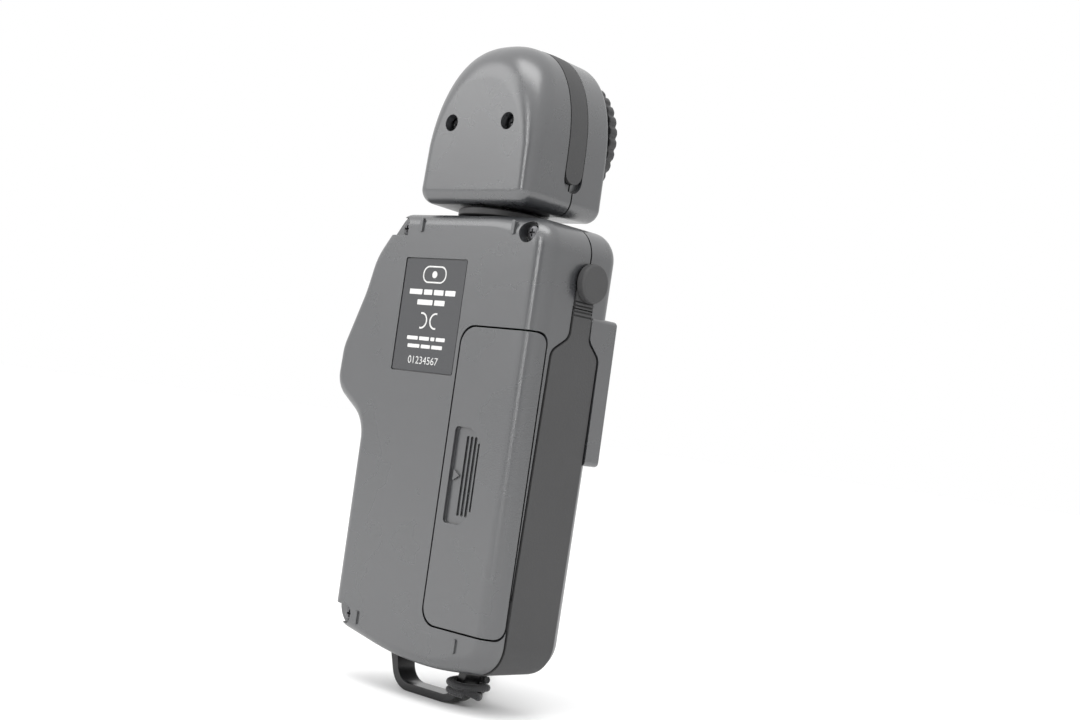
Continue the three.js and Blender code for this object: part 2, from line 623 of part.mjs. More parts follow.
// The band lies in a groove over the arch, along the joint between the two shells.
const bandCorners = (extra, end) => [
  [-5.7 - extra, end, 3.05 + extra], [0.5 + extra, end, 3.05 + extra],
  [0.5 + extra, 190, 1], [-5.7 - extra, 190, 1],
];
const bandGroove = prismX(bandCorners(0.25, 119.4), -FAR, FAR).subtract(casing(headSides, 1.3, 2, 2));
const headBore = rodZ(0, 0, NECK.spigot + GAP, HEAD_BOTTOM - 3, HEAD_BOTTOM + 6, 32);

function headBackShell() {
  let shell = headOuter.subtract(headInner).intersect(backHalf(headMiddle));
  HEAD_SCREWS.forEach(({ x }) => {
    shell = shell.add(rodY(x, HEAD_SCREW_Z, 3.4, PARTING_Y + SEAM / 2, HEAD_BACK - 1).intersect(headOuter));
  });
  HEAD_SCREWS.forEach(({ x }) => {
    shell = shell.subtract(rodY(x, HEAD_SCREW_Z, 2.15, HEAD_BACK - 3.4, FAR));
    shell = shell.subtract(rodY(x, HEAD_SCREW_Z, SCREW.pilot, -FAR, FAR, 16));
  });
  return shell.subtract(bandGroove).subtract(headBore);
}

// The front shell has a cup for the diffuser's sleeve, with the light aperture in its floor.
function headFrontShell() {
  const { bore, floor, aperture } = RECEPTOR;
  const cup = rodY(0, RING.z, bore + 1.4, HEAD_FRONT + 1, floor + 1.4, 48);
  let shell = headOuter.subtract(headInner).add(cup).intersect(frontHalf(headMiddle));
  HEAD_SCREWS.forEach(({ x }) => {
    shell = shell.add(rodY(x, HEAD_SCREW_Z, 2.6, floor + 1, PARTING_Y - SEAM / 2 - 0.2));
  });
  shell = shell.subtract(rodY(0, RING.z, bore, -FAR, floor, 48));
  shell = shell.subtract(rodY(0, RING.z, aperture, -FAR, 0, 32));
  HEAD_SCREWS.forEach(({ x }) => {
    shell = shell.subtract(rodY(x, HEAD_SCREW_Z, SCREW.pilot, floor + 0.9, FAR, 16));
  });
  const indexMark = box(-22, -19, -14.6, -9.8, RING.z - 0.15, RING.z + 0.15);
  return shell.subtract(bandGroove).subtract(headBore).subtract(indexMark);
}

function headBand() {
  const skin = casing(headSides, -0.05, 2, 2).subtract(casing(headSides, 1, 2, 2));
  return skin.intersect(prismX(bandCorners(0, 121.6), -FAR, FAR));
}

addPart('head_back_shell', headBackShell(), casePlastic);
addPart('head_front_shell', headFrontShell(), casePlastic);
addPart('head_band', headBand(), gripRubber);

// ---------------------------------------------------------------- diffuser and light cell

function diffuserRing() {
  const { radius, y0, y1, bore, sleeve, notches } = RING;
  let ring = turned([
    [11.2, -12.7], [11.2, -17.2], [bore, -17.2], [bore, y0], [radius - 0.7, y0], [radius, y0 + 0.6],
    [radius, y1], [sleeve, y1], [sleeve, -12.7],
  ], 60);
  for (let i = 0; i < notches; i += 1) {
    const angle = 2 * Math.PI * (i + 0.5) / notches;
    const groove = new THREE.BoxGeometry(0.9, 6, 1.1).translate(radius, 0, 0).rotateY(angle);
    ring = ring.subtract(toSolid(groove.translate(0, (y0 + y1) / 2, 0)));
  }
  return place(ring, 0, 0, RING.z);
}

function diffuserDome() {
  const base = -17.5;
  const wall = 1.2;
  const steps = 7;
  const arc = (radius, from, to) => Array.from({ length: steps + 1 }, (_, i) => {
    const angle = from + (to - from) * i / steps;
    return [Math.max(radius * Math.cos(angle), 0), base - radius * Math.sin(angle)];
  });
  const profile = [
    ...arc(DOME_RADIUS - wall, 0, Math.PI / 2), ...arc(DOME_RADIUS, Math.PI / 2, 0.1),
    [DOME_RADIUS, base - 0.8], [DOME_RADIUS + 0.6, base - 0.8], [DOME_RADIUS + 0.6, base],
  ];
  return place(turned(profile, 32), 0, 0, RING.z);
}

addPart('diffuser_ring', diffuserRing(), darkPlastic);
addPart('diffuser_dome', diffuserDome(), domeOpal);
addPart('colour_filter', rodY(0, RING.z, 5.1, -10.5, -9.6), filterGlass);
addPart('light_cell', rodY(0, RING.z, 4.3, -9.3, -6.2), socketMetal);

function headBoard() {
  let board = prismY(rectangle(-14, 14, 122, 146, 3), -5.8, -4.4);
  HEAD_SCREWS.forEach(({ x }) => {
    board = board.subtract(rodY(x, HEAD_SCREW_Z, 2.9, -FAR, FAR));
  });
  return board;
}

addPart('head_board', headBoard(), boardFibre);

// ---------------------------------------------------------------- screws

// A cross-head screw along Y, with the top of its head at y.
function crossScrew(x, z, y, length) {
  const top = y - SCREW.headHeight;
  let screw = rodY(x, z, SCREW.head, top, y, 20).add(rodY(x, z, SCREW.shank, y - length, top + 0.1, 12));
  [[1.2, 0.3], [0.3, 1.2]].forEach(([w, h]) => {
    screw = screw.subtract(box(x - w, x + w, y - 0.6, y + 1, z - h, z + h));
  });
  return screw;
}

CASE_SCREWS.forEach(({ name, x, z }) => {
  addPart(`case_screw_${name}`, crossScrew(x, z, 11.9, 20), screwSteel);
});
HEAD_SCREWS.forEach(({ name, x }) => {
  addPart(`head_screw_${name}`, crossScrew(x, HEAD_SCREW_Z, 11.6, 20), screwSteel);
});

// ---------------------------------------------------------------- strap bar and cord

// A flat bail whose feet pass through the case bottom, optionally fattened all round.
function strapBar(extra = 0) {
  const { y0, y1, thickness, foot } = STRAP_BAR;
  const low = -CASE_LIFT;
  const outer = prismY([
    [-10.6 - extra, low - extra, 6.4], [10.6 + extra, low - extra, 6.4],
    [15 + extra, foot + extra, 0.4], [-15 - extra, foot + extra, 0.4],
  ], y0 - extra, y1 + extra);
  const inner = prismY([
    [-9.4 + extra, low + thickness + extra, 4.6], [9.4 - extra, low + thickness + extra, 4.6],
    [13.6 - extra, 10, 0.4], [-13.6 + extra, 10, 0.4],
  ], -FAR, FAR);
  return outer.subtract(inner);
}

// The wrist cord is hitched round one leg of the bar. Its two strands run to a flat hank.
function cordKnot() {
  const wraps = prismY([
    [-15.7, -6.4, 1.4], [-8.3, -6.4, 1.4], [-8.3, -2.1, 1.4], [-15.7, -2.1, 1.4],
  ], STRAP_BAR.y0 - 2.2, STRAP_BAR.y1 + 2.2);
  return wraps.subtract(strapBar(GAP));
}

// The strands leave the knot away from the back and run side by side to the hank.
const floorHeight = -CASE_LIFT + CORD.diameter / 2 + 0.1;
const strandRoute = (side) => CORD.strand.map(([along, height]) => {
  const offset = side * CORD.pitch / 2;
  const { x, y } = CORD.start;
  const [dx, dy] = CORD.heading;
  return new THREE.Vector3(x + dx * along - dy * offset, y + dy * along + dx * offset, height ?? floorHeight);
});

function cordStrand(side) {
  const path = new THREE.CatmullRomCurve3(strandRoute(side));
  const section = circleShape(CORD.diameter / 2, 8);
  return toSolid(new THREE.ExtrudeGeometry(section, { steps: 14, bevelEnabled: false, extrudePath: path }));
}

function cordHank() {
  const { length, width, height, gap } = CORD.hank;
  const [dx, dy] = CORD.heading;
  const near = CORD.strand.at(-1)[0] + gap;
  const outline = rectangle(near, near + length, -width / 2, width / 2, width / 2 - 0.05);
  const geometry = new THREE.ExtrudeGeometry(planar(outline), { depth: height, bevelEnabled: false });
  geometry.rotateZ(Math.atan2(dy, dx));
  return toSolid(geometry.translate(CORD.start.x, CORD.start.y, -CASE_LIFT + 0.1));
}

addPart('strap_bar', strapBar(), barPlastic);
addPart('cord_knot', cordKnot(), cordNylon);
addPart('cord_strand_out', cordStrand(-1), cordNylon);
addPart('cord_strand_back', cordStrand(1), cordNylon);
addPart('cord_hank', cordHank(), cordNylon);

export default lightMeter;
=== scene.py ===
"""Looks of the handheld light meter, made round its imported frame.

Lengths are millimetres and heights are measured from the lowest point of the case, until a mesh is made.
"""

import json
import math

import bmesh
import bpy
from mathutils import Matrix, Vector


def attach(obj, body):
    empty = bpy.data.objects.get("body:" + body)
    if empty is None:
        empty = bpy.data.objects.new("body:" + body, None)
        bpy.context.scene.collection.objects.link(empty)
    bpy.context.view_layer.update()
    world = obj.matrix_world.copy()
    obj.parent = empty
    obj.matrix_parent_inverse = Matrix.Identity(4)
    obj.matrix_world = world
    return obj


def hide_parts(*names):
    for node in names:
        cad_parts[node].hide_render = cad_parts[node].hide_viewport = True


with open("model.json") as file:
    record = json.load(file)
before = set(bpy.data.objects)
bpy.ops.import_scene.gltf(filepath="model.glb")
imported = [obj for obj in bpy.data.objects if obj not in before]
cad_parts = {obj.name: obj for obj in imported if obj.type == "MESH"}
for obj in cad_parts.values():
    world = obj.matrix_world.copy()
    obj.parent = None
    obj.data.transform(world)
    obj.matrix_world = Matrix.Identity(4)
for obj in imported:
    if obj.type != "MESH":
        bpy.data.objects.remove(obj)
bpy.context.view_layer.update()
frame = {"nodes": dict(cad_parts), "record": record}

MM = 0.001
CASE_LIFT = 8.8
FAR = 90
HARD_EDGE = 32
GAP = 0.3
DRAWN_GAP = 0.45
PARTING_Y = -2.8
SEAM = 0.5
PILOT_RADIUS = 1.3
SCREW_LENGTH = 20
CASE_SCREW_TOP = 11.9
HEAD_SCREW_TOP = 11.6

CASE_TOP = 111
CASE_BACK = 13.5
CASE_FRONT = -14
CASE_WALL = 2
SIDE_X = -28.5
GRIP_SEAT_END = -16.9
GRIP_END = -17.2
SYNC_AXIS = (-3.1, 97.3)
CASE_OUTLINE = [
    (-27.8, 1.9, 8), (-2, -1.1, 100), (28.3, 5.0, 6.5), (28.4, 56.6, 9), (40.3, 64.6, 7.5),
    (39.9, 75.6, 11), (34.1, 90.5, 32), (31.9, 99.6, 16), (23.6, CASE_TOP, 5.2), (SIDE_X, CASE_TOP, 7.5),
]

HEAD_BOTTOM = 113.5
HEAD_TOP = 155.8
HEAD_HALF_WIDTH = 19.4
HEAD_SPRING = 128.5
HEAD_ARCH_POWER = 2.4
HEAD_CORNER = 4.2
HEAD_BACK = 13.5
HEAD_FRONT = -15.6
HEAD_WALL = 2.4
HEAD_DRAFT = 0.03
NECK_BORE = 7.3
RING_Z = 135.4
RING_RADIUS = 18.1

DOOR_LEFT = -4.63
DOOR_BOTTOM = 10.5
DOOR_TOP = 83.2
LABEL = (-2.8, 18.7, 70.9, 99.3)
DOOR_WALL = 1.7
DISPLAY_BLOCK = (-28.9, 22, 53.3, 89.6)
DISPLAY_HOLLOW = (-24, 20, 55.3, 87.6)
WINDOW = (-21.5, 14.5, 57.5, 85)
LCD_FACE = -12.7
KEY_FACE = -14.9
PRINT = 0.04
CASE_SCREWS = {"top_outer": (22.1, 107.1), "top_grip": (-21.4, 107.0), "bottom_outer": (23.1, 7.6)}
HEAD_SCREWS = {"left": (-9.63, 134.1), "right": (9.63, 134.1)}
KEYS = {
    "power_button": (-17, 42.5, 8, 8),
    "mode_button": (-3, 42.5, 9.5, 5),
    "iso_button": (11, 42.5, 9.5, 5),
    "up_button": (-3, 31.2, 9.2, 6.8),
    "down_button": (-3, 21.3, 9.2, 6.8),
    "memory_button": (-17, 26.5, 9.5, 5),
    "clear_button": (11, 26.5, 9.5, 5),
    "measure_button": (30.2, 72, 9.5, 15),
}


# ------------------------------------------------------------------ camera


def add_camera():
    """The camera stands to the grip side of the back, a little below the middle, and leans by 8 degrees."""
    camera = bpy.data.objects.new("camera", bpy.data.cameras.new("camera"))
    bpy.context.scene.collection.objects.link(camera)
    right = Vector((-0.7399, -0.6581, 0.1386))
    up = Vector((0.0744, 0.1247, 0.9893))
    forward = Vector((0.6685, -0.7425, 0.0433))
    turn = Matrix((right, up, -forward)).transposed().to_4x4()
    camera.matrix_world = Matrix.Translation(Vector((-0.2729, 0.2820, 0.0699))) @ turn
    camera.data.lens = 51.78
    camera.data.sensor_width = 36
    camera.data.clip_start = 0.01
    camera.data.clip_end = 50
    bpy.context.scene.camera = camera


add_camera()


# ------------------------------------------------------------------ materials


class Recipe:
    """A material whose nodes are added one by one."""

    def __init__(self, name):
        self.material = bpy.data.materials.new(name)
        self.material.use_nodes = True
        self.tree = self.material.node_tree
        self.shader = self.tree.nodes["Principled BSDF"]
        self.coords = self.add("ShaderNodeTexCoord").outputs["Object"]

    def add(self, kind, **settings):
        node = self.tree.nodes.new(kind)
        for key, value in settings.items():
            setattr(node, key, value)
        return node

    def link(self, source, target):
        self.tree.links.new(source, target)

    def noise(self, scale, detail=2.0, rough=0.5, stretch=None):
        node = self.add("ShaderNodeTexNoise")
        node.inputs["Scale"].default_value = scale
        node.inputs["Detail"].default_value = detail
        node.inputs["Roughness"].default_value = rough
        source = self.coords
        if stretch:
            mapping = self.add("ShaderNodeMapping")
            mapping.inputs["Scale"].default_value = stretch
            self.link(source, mapping.inputs["Vector"])
            source = mapping.outputs["Vector"]
        self.link(source, node.inputs["Vector"])
        return node.outputs["Fac"]

    def spread(self, source, low, high, start=0.3, end=0.7):
        """Maps the middle part of a noise to a range of values."""
        node = self.add("ShaderNodeMapRange", clamp=True)
        node.inputs["From Min"].default_value = start
        node.inputs["From Max"].default_value = end
        node.inputs["To Min"].default_value = low
        node.inputs["To Max"].default_value = high
        self.link(source, node.inputs["Value"])
        return node.outputs["Result"]

    def mix(self, factor, first, second):
        node = self.add("ShaderNodeMix", data_type="RGBA")
        for value, socket in ((factor, node.inputs[0]), (first, node.inputs[6]), (second, node.inputs[7])):
            if isinstance(value, bpy.types.NodeSocket):
                self.link(value, socket)
            else:
                socket.default_value = value
        return node.outputs[2]

    def edges(self, radius):
        """A mask that is 1 on sharp outer edges, and the normal rounded by the same radius."""
        bevel = self.add("ShaderNodeBevel", samples=4)
        bevel.inputs["Radius"].default_value = radius
        geometry = self.add("ShaderNodeNewGeometry")
        dot = self.add("ShaderNodeVectorMath", operation="DOT_PRODUCT")
        self.link(bevel.outputs["Normal"], dot.inputs[0])
        self.link(geometry.outputs["True Normal"], dot.inputs[1])
        mask = self.spread(dot.outputs["Value"], 1.0, 0.0, 0.80, 0.99)
        return mask, bevel.outputs["Normal"]

    def painted_gap_shade(self, color, reach=0.0009, deep=0.22):
        """Painted shade: ambient occlusion darkens the colour in gaps and inner corners, where little light
        gets in.
        """
        occlusion = self.add("ShaderNodeAmbientOcclusion", samples=6)
        occlusion.inputs["Distance"].default_value = reach
        open_part = self.spread(occlusion.outputs["AO"], deep, 1.0, 0.25, 0.85)
        scale = self.add("ShaderNodeVectorMath", operation="SCALE")
        self.link(color, scale.inputs[0])
        self.link(open_part, scale.inputs["Scale"])
        return scale.outputs["Vector"]

    def bump(self, height, distance, strength=1.0, normal=None):
        node = self.add("ShaderNodeBump")
        node.inputs["Distance"].default_value = distance
        node.inputs["Strength"].default_value = strength
        self.link(height, node.inputs["Height"])
        if normal is not None:
            self.link(normal, node.inputs["Normal"])
        return node.outputs["Normal"]

    def finish(self, color=None, rough=None, normal=None, **values):
        for source, socket in ((color, "Base Color"), (rough, "Roughness"), (normal, "Normal")):
            if source is not None:
                self.link(source, self.shader.inputs[socket])
        for key, value in values.items():
            self.shader.inputs[key.replace("_", " ")].default_value = value
        return self.material


def shade(color, factor):
    return (color[0] * factor, color[1] * factor, color[2] * factor, 1.0)


def moulded(name, color, rough, grain=2600.0, depth=0.00003, edge=0.00018, wear=0.35, patch=0.05, **values):
    """Moulded plastic or rubber: fine grain, faint blotches, dust specks, edges that have gone paler, and
    painted shade that darkens gaps and inner corners.
    """
    recipe = Recipe(name)
    blotch = recipe.noise(38.0, 3.0)
    speck = recipe.noise(1900.0, 1.0, stretch=(1.0, 1.0, 0.9))
    grain_noise = recipe.noise(grain, 2.0, 0.6)
    mask, rounded = recipe.edges(edge)
    base = recipe.mix(
        recipe.spread(blotch, 0.0, 1.0), shade(color, 1.0 - patch), shade(color, 1.0 + patch),
    )
    dusty = recipe.mix(recipe.spread(speck, 0.0, 0.10, 0.62, 0.8), base, shade(color, 2.1))
    worn = recipe.add("ShaderNodeMath", operation="MULTIPLY")
    recipe.link(mask, worn.inputs[0])
    recipe.link(recipe.spread(recipe.noise(420.0, 3.0), 0.15 * wear, wear, 0.4, 0.65), worn.inputs[1])
    coloured = recipe.mix(worn.outputs[0], dusty, shade(color, 1.9))
    gloss = recipe.spread(recipe.noise(70.0, 4.0), rough - 0.02, rough + 0.02)
    normal = recipe.bump(grain_noise, depth, 0.8, rounded)
    # painted shade: the colour is darkened by ambient occlusion in gaps and inner corners
    return recipe.finish(recipe.painted_gap_shade(coloured), gloss, normal, **values)


def glassy(name, color, rough, transmission, ior):
    """Clear moulded acrylic or filter glass with faint smears and hairlines."""
    recipe = Recipe(name)
    smear = recipe.noise(60.0, 4.0, stretch=(1.0, 1.0, 3.0))
    hair = recipe.noise(900.0, 2.0, stretch=(1.0, 1.0, 0.05))
    tint = recipe.mix(recipe.spread(smear, 0.0, 1.0), shade(color, 0.95), shade(color, 1.05))
    gloss = recipe.spread(smear, rough, rough + 0.08)
    normal = recipe.bump(hair, 0.000003, 0.4)
    return recipe.finish(tint, gloss, normal, Transmission_Weight=transmission, IOR=ior)


def metallic(name, color, rough, brushed=(1.0, 1.0, 1.0), edge=0.0001):
    """Plated or blackened metal with fine brushing, bright worn edges, and painted shade that darkens gaps
    and recesses.
    """
    recipe = Recipe(name)
    brush = recipe.noise(1400.0, 3.0, stretch=brushed)
    patch = recipe.noise(300.0, 3.0)
    mask, rounded = recipe.edges(edge)
    base = recipe.mix(recipe.spread(patch, 0.0, 1.0), shade(color, 0.8), shade(color, 1.2))
    coloured = recipe.mix(recipe.spread(mask, 0.0, 0.6, 0.2, 1.0), base, shade(color, 2.2))
    gloss = recipe.spread(brush, rough - 0.1, rough + 0.12)
    normal = recipe.bump(brush, 0.000012, 0.5, rounded)
    # painted shade: the colour is darkened by ambient occlusion in gaps and recesses
    return recipe.finish(recipe.painted_gap_shade(coloured, 0.0005, 0.5), gloss, normal, Metallic=1.0)


def opal(name):
    """Translucent white moulded opal plastic."""
    recipe = Recipe(name)
    cloud = recipe.noise(90.0, 3.0)
    fine = recipe.noise(2400.0, 2.0)
    color = (0.84, 0.83, 0.79, 1.0)
    base = recipe.mix(recipe.spread(cloud, 0.0, 1.0), shade(color, 0.97), shade(color, 1.03))
    gloss = recipe.spread(cloud, 0.36, 0.46)
    normal = recipe.bump(fine, 0.00002, 0.5)
    return recipe.finish(
        base, gloss, normal, Subsurface_Weight=0.35, Subsurface_Radius=(0.004, 0.004, 0.0035),
        Subsurface_Scale=1.0,
    )


def braided(name):
    """Black nylon braid: two crossed sets of slanting threads, with painted shade between the threads and
    painted highlight on their crests, and paler frayed fibres.
    """
    recipe = Recipe(name)
    waves = []
    for slant in (1.0, -1.0):
        mapping = recipe.add("ShaderNodeMapping")
        mapping.inputs["Rotation"].default_value = (0.5 * slant, 0.9 * slant, 0.6 * slant)
        wave = recipe.add("ShaderNodeTexWave", wave_type="BANDS")
        wave.inputs["Scale"].default_value = 620.0
        wave.inputs["Distortion"].default_value = 0.6
        recipe.link(recipe.coords, mapping.inputs["Vector"])
        recipe.link(mapping.outputs["Vector"], wave.inputs["Vector"])
        waves.append(wave.outputs["Fac"])
    weave = recipe.add("ShaderNodeMath", operation="MAXIMUM")
    recipe.link(waves[0], weave.inputs[0])
    recipe.link(waves[1], weave.inputs[1])
    color = (0.013, 0.013, 0.014, 1.0)
    fibre = recipe.noise(4200.0, 2.0)
    # painted shade and highlight: the colour follows the weave's height, darker in its hollows and lighter on
    # its crests
    threads = recipe.mix(weave.outputs[0], shade(color, 0.5), shade(color, 2.0))
    fuzzy = recipe.mix(recipe.spread(fibre, 0.0, 0.5, 0.6, 0.8), threads, shade(color, 4.0))
    gloss = recipe.spread(fibre, 0.5, 0.72)
    normal = recipe.bump(weave.outputs[0], 0.00012, 0.9)
    return recipe.finish(fuzzy, gloss, normal, Sheen_Weight=0.2, Sheen_Roughness=0.4)


def board(name):
    """Green solder mask over faint copper tracks."""
    recipe = Recipe(name)
    tracks = recipe.add("ShaderNodeTexBrick")
    tracks.inputs["Scale"].default_value = 160.0
    tracks.inputs["Color1"].default_value = (0.02, 0.11, 0.05, 1.0)
    tracks.inputs["Color2"].default_value = (0.025, 0.14, 0.06, 1.0)
    tracks.inputs["Mortar"].default_value = (0.05, 0.20, 0.08, 1.0)
    tracks.inputs["Mortar Size"].default_value = 0.06
    recipe.link(recipe.coords, tracks.inputs["Vector"])
    gloss = recipe.spread(recipe.noise(300.0), 0.3, 0.45)
    normal = recipe.bump(tracks.outputs["Fac"], 0.00003, 0.6)
    return recipe.finish(tracks.outputs["Color"], gloss, normal)


GREY = (0.034, 0.0355, 0.0385)
MATERIALS = {
    "case_plastic": moulded(
        "case_plastic", GREY, 0.28, wear=0.30, patch=0.03, Specular_IOR_Level=0.95, IOR=1.65,
    ),
    "grip_rubber": moulded(
        "grip_rubber", (0.046, 0.046, 0.047), 0.66, grain=1700.0, depth=0.00006, wear=0.25,
    ),
    "dark_plastic": moulded("dark_plastic", (0.020, 0.020, 0.021), 0.46, wear=0.5),
    "bar_plastic": moulded("bar_plastic", (0.009, 0.009, 0.0095), 0.26, depth=0.000012, wear=0.5),
    "label_foil": moulded("label_foil", (0.044, 0.045, 0.048), 0.46, grain=3400.0, depth=0.00002, wear=0.2),
    "label_print": moulded("label_print", (0.62, 0.62, 0.61), 0.5, grain=3400.0, depth=0.00001, wear=0.0),
    "key_plastic": moulded("key_plastic", (0.20, 0.205, 0.215), 0.45, wear=0.4),
    "measure_key_plastic": moulded("measure_key_plastic", (0.035, 0.065, 0.105), 0.38, wear=0.5),
    "window_acrylic": glassy("window_acrylic", (0.93, 0.95, 0.94), 0.03, 1.0, 1.49),
    "window_frame": moulded("window_frame", (0.008, 0.008, 0.009), 0.25, depth=0.000008, wear=0.1),
    "lcd_glass": moulded("lcd_glass", (0.28, 0.33, 0.25), 0.22, grain=5200.0, depth=0.000006, wear=0.0),
    "lcd_segment": moulded("lcd_segment", (0.015, 0.017, 0.015), 0.4, depth=0.000006, wear=0.0),
    "filter_glass": glassy("filter_glass", (0.25, 0.5, 0.62), 0.05, 0.8, 1.5),
    "silicone": moulded("silicone", (0.32, 0.32, 0.31), 0.6, wear=0.0),
    "black_plastic": moulded("black_plastic", (0.013, 0.013, 0.014), 0.5, wear=0.3),
    "cell_jacket": metallic("cell_jacket", (0.45, 0.28, 0.08), 0.35),
    "lead_sheath": moulded("lead_sheath", (0.10, 0.10, 0.105), 0.5, wear=0.0),
    "screw_steel": metallic("screw_steel", (0.12, 0.12, 0.125), 0.34, edge=0.00012),
    "spring_steel": metallic("spring_steel", (0.55, 0.56, 0.58), 0.3, brushed=(1.0, 1.0, 0.1)),
    "socket_metal": metallic("socket_metal", (0.58, 0.55, 0.47), 0.28),
    "opal_plastic": opal("opal_plastic"),
    "cord_nylon": braided("cord_nylon"),
    "circuit_board": board("circuit_board"),
}


# ------------------------------------------------------------------ meshes and booleans


def in_row(point):
    return Vector((point[0] * MM, point[1] * MM, (point[2] + CASE_LIFT) * MM))


def mesh_piece(name, points, faces):
    """A mesh object from points in millimetres, with every face turned outwards."""
    mesh = bpy.data.meshes.new(name)
    mesh.from_pydata([in_row(p) for p in points], [], faces)
    shape = bmesh.new()
    shape.from_mesh(mesh)
    bmesh.ops.remove_doubles(shape, verts=shape.verts, dist=1e-7)
    bmesh.ops.recalc_face_normals(shape, faces=shape.faces)
    bmesh.ops.triangulate(shape, faces=[face for face in shape.faces if len(face.verts) == 4])
    shape.to_mesh(mesh)
    shape.free()
    piece = bpy.data.objects.new(name, mesh)
    bpy.context.scene.collection.objects.link(piece)
    return piece


def bake(piece):
    """Replaces a piece's mesh by what its modifiers make of it."""
    graph = bpy.context.evaluated_depsgraph_get()
    mesh = bpy.data.meshes.new_from_object(piece.evaluated_get(graph))
    piece.modifiers.clear()
    piece.data = mesh
    return piece


def combine(piece, operation, *others):
    """One boolean after another, with the other solids used up."""
    for other in others:
        modifier = piece.modifiers.new("shape", "BOOLEAN")
        modifier.solver = "MANIFOLD"
        modifier.operation = operation
        modifier.object = other
    bake(piece)
    for other in others:
        bpy.data.objects.remove(other)
    return piece


def cut(piece, *others):
    return combine(piece, "DIFFERENCE", *others)


def join(piece, *others):
    return combine(piece, "UNION", *others)


def common(piece, *others):
    return combine(piece, "INTERSECT", *others)


def smooth(piece):
    """Smooth shading with hard edges where faces meet at more than HARD_EDGE degrees."""
    piece.data.shade_smooth()
    piece.data.set_sharp_from_angle(angle=math.radians(HARD_EDGE))
    modifier = piece.modifiers.new("normals", "WEIGHTED_NORMAL")
    modifier.keep_sharp = True
    modifier.weight = 80
    return piece


def finish(piece, body, slot, *nodes):
    """Smooths a piece and dresses it."""
    smooth(piece)
    dress(piece, body, slot, *nodes)


def dress(piece, body, slot, *nodes, material=None):
    """Gives a piece its material, which is the slot's own unless another is named, puts it on its body and
    hides the CAD nodes that it stands for.
    """
    piece.data.materials.clear()
    piece.data.materials.append(MATERIALS[material or slot])
    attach(piece, body)
    if nodes:
        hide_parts(*nodes)


def rounded_outline(corners, step=math.pi / 30, chord=1.6, straight=None):
    """Samples (x, z, normal x, normal z) round a closed outline whose corners become arcs."""
    samples = []
    count = len(corners)
    for i, (x, z, radius) in enumerate(corners):
        corner = Vector((x, z))
        back = (Vector(corners[i - 1][:2]) - corner).normalized()
        ahead = (Vector(corners[(i + 1) % count][:2]) - corner).normalized()
        half = math.acos(max(-1.0, min(1.0, back.dot(ahead)))) / 2
        side = math.copysign(1.0, -(back.x * ahead.y - back.y * ahead.x))
        centre = (back + ahead).normalized() * (radius / math.sin(half)) + corner
        start_point = back * (radius / math.tan(half)) + corner - centre
        start = math.atan2(start_point.y, start_point.x)
        sweep = math.pi - 2 * half
        steps = max(2, math.ceil(max(sweep / step, sweep * radius / chord)))
        for k in range(steps + 1):
            angle = start + side * sweep * k / steps
            sample = (
                centre.x + radius * math.cos(angle), centre.y + radius * math.sin(angle),
                side * math.cos(angle), side * math.sin(angle),
            )
            if k == 0 and straight and samples:
                last = samples[-1]
                pieces = math.ceil(math.hypot(sample[0] - last[0], sample[1] - last[1]) / straight)
                for j in range(1, pieces):
                    t = j / pieces
                    samples.append((
                        last[0] + (sample[0] - last[0]) * t, last[1] + (sample[1] - last[1]) * t,
                        sample[2], sample[3],
                    ))
            samples.append(sample)
    return samples


def loft(name, rings):
    """A closed solid through rings of equal length, with its two ends filled."""
    count = len(rings[0])
    points = [point for ring in rings for point in ring]
    faces = [list(range(count)), list(range(len(points) - count, len(points)))]
    for r in range(len(rings) - 1):
        for i in range(count):
            a = r * count + i
            b = r * count + (i + 1) % count
            faces.append([a, b, b + count, a + count])
    return mesh_piece(name, points, faces)


def casing(sides, inset, back_steps=12, front_steps=8):
    """A casing volume, rounded at its back and front. A negative inset offsets it outwards."""
    outline, back, front, back_fillet, front_fillet, draft = sides

    def ring(depths, shrinks):
        made = []
        for (x, z, nx, nz), depth, shrink in zip(outline, depths, shrinks):
            amount = inset + shrink + draft * abs(depth - PARTING_Y)
            made.append((x - nx * amount, depth, z - nz * amount))
        return made

    def fillet(radii, face, toward, steps):
        rings = []
        for k in range(steps + 1):
            angle = math.pi / 2 * k / steps
            rings.append(ring(
                [face - toward * r * (1 - math.cos(angle)) for r in radii],
                [r * (1 - math.sin(angle)) for r in radii],
            ))
        return rings

    back_radii = [max(back_fillet(s) - inset, 0.5) for s in outline]
    front_radii = [max(front_fillet(s) - inset, 0.5) for s in outline]
    rings = fillet(back_radii, back - inset, 1, back_steps)
    if draft:
        rings.append(ring([PARTING_Y] * len(outline), [0] * len(outline)))
    rings += reversed(fillet(front_radii, front + inset, -1, front_steps))
    return loft("casing", rings)


def smoothstep(value, low, high):
    t = max(0.0, min(1.0, (value - low) / (high - low)))
    return t * t * (3 - 2 * t)


CASE_SIDES = (
    rounded_outline(CASE_OUTLINE, straight=4), CASE_BACK, CASE_FRONT,
    lambda s: 3.1 + 2 * smoothstep(-s[0], 8, 24),
    lambda s: 4 + 2 * (1 - smoothstep(s[1], 4, 20)),
    0,
)


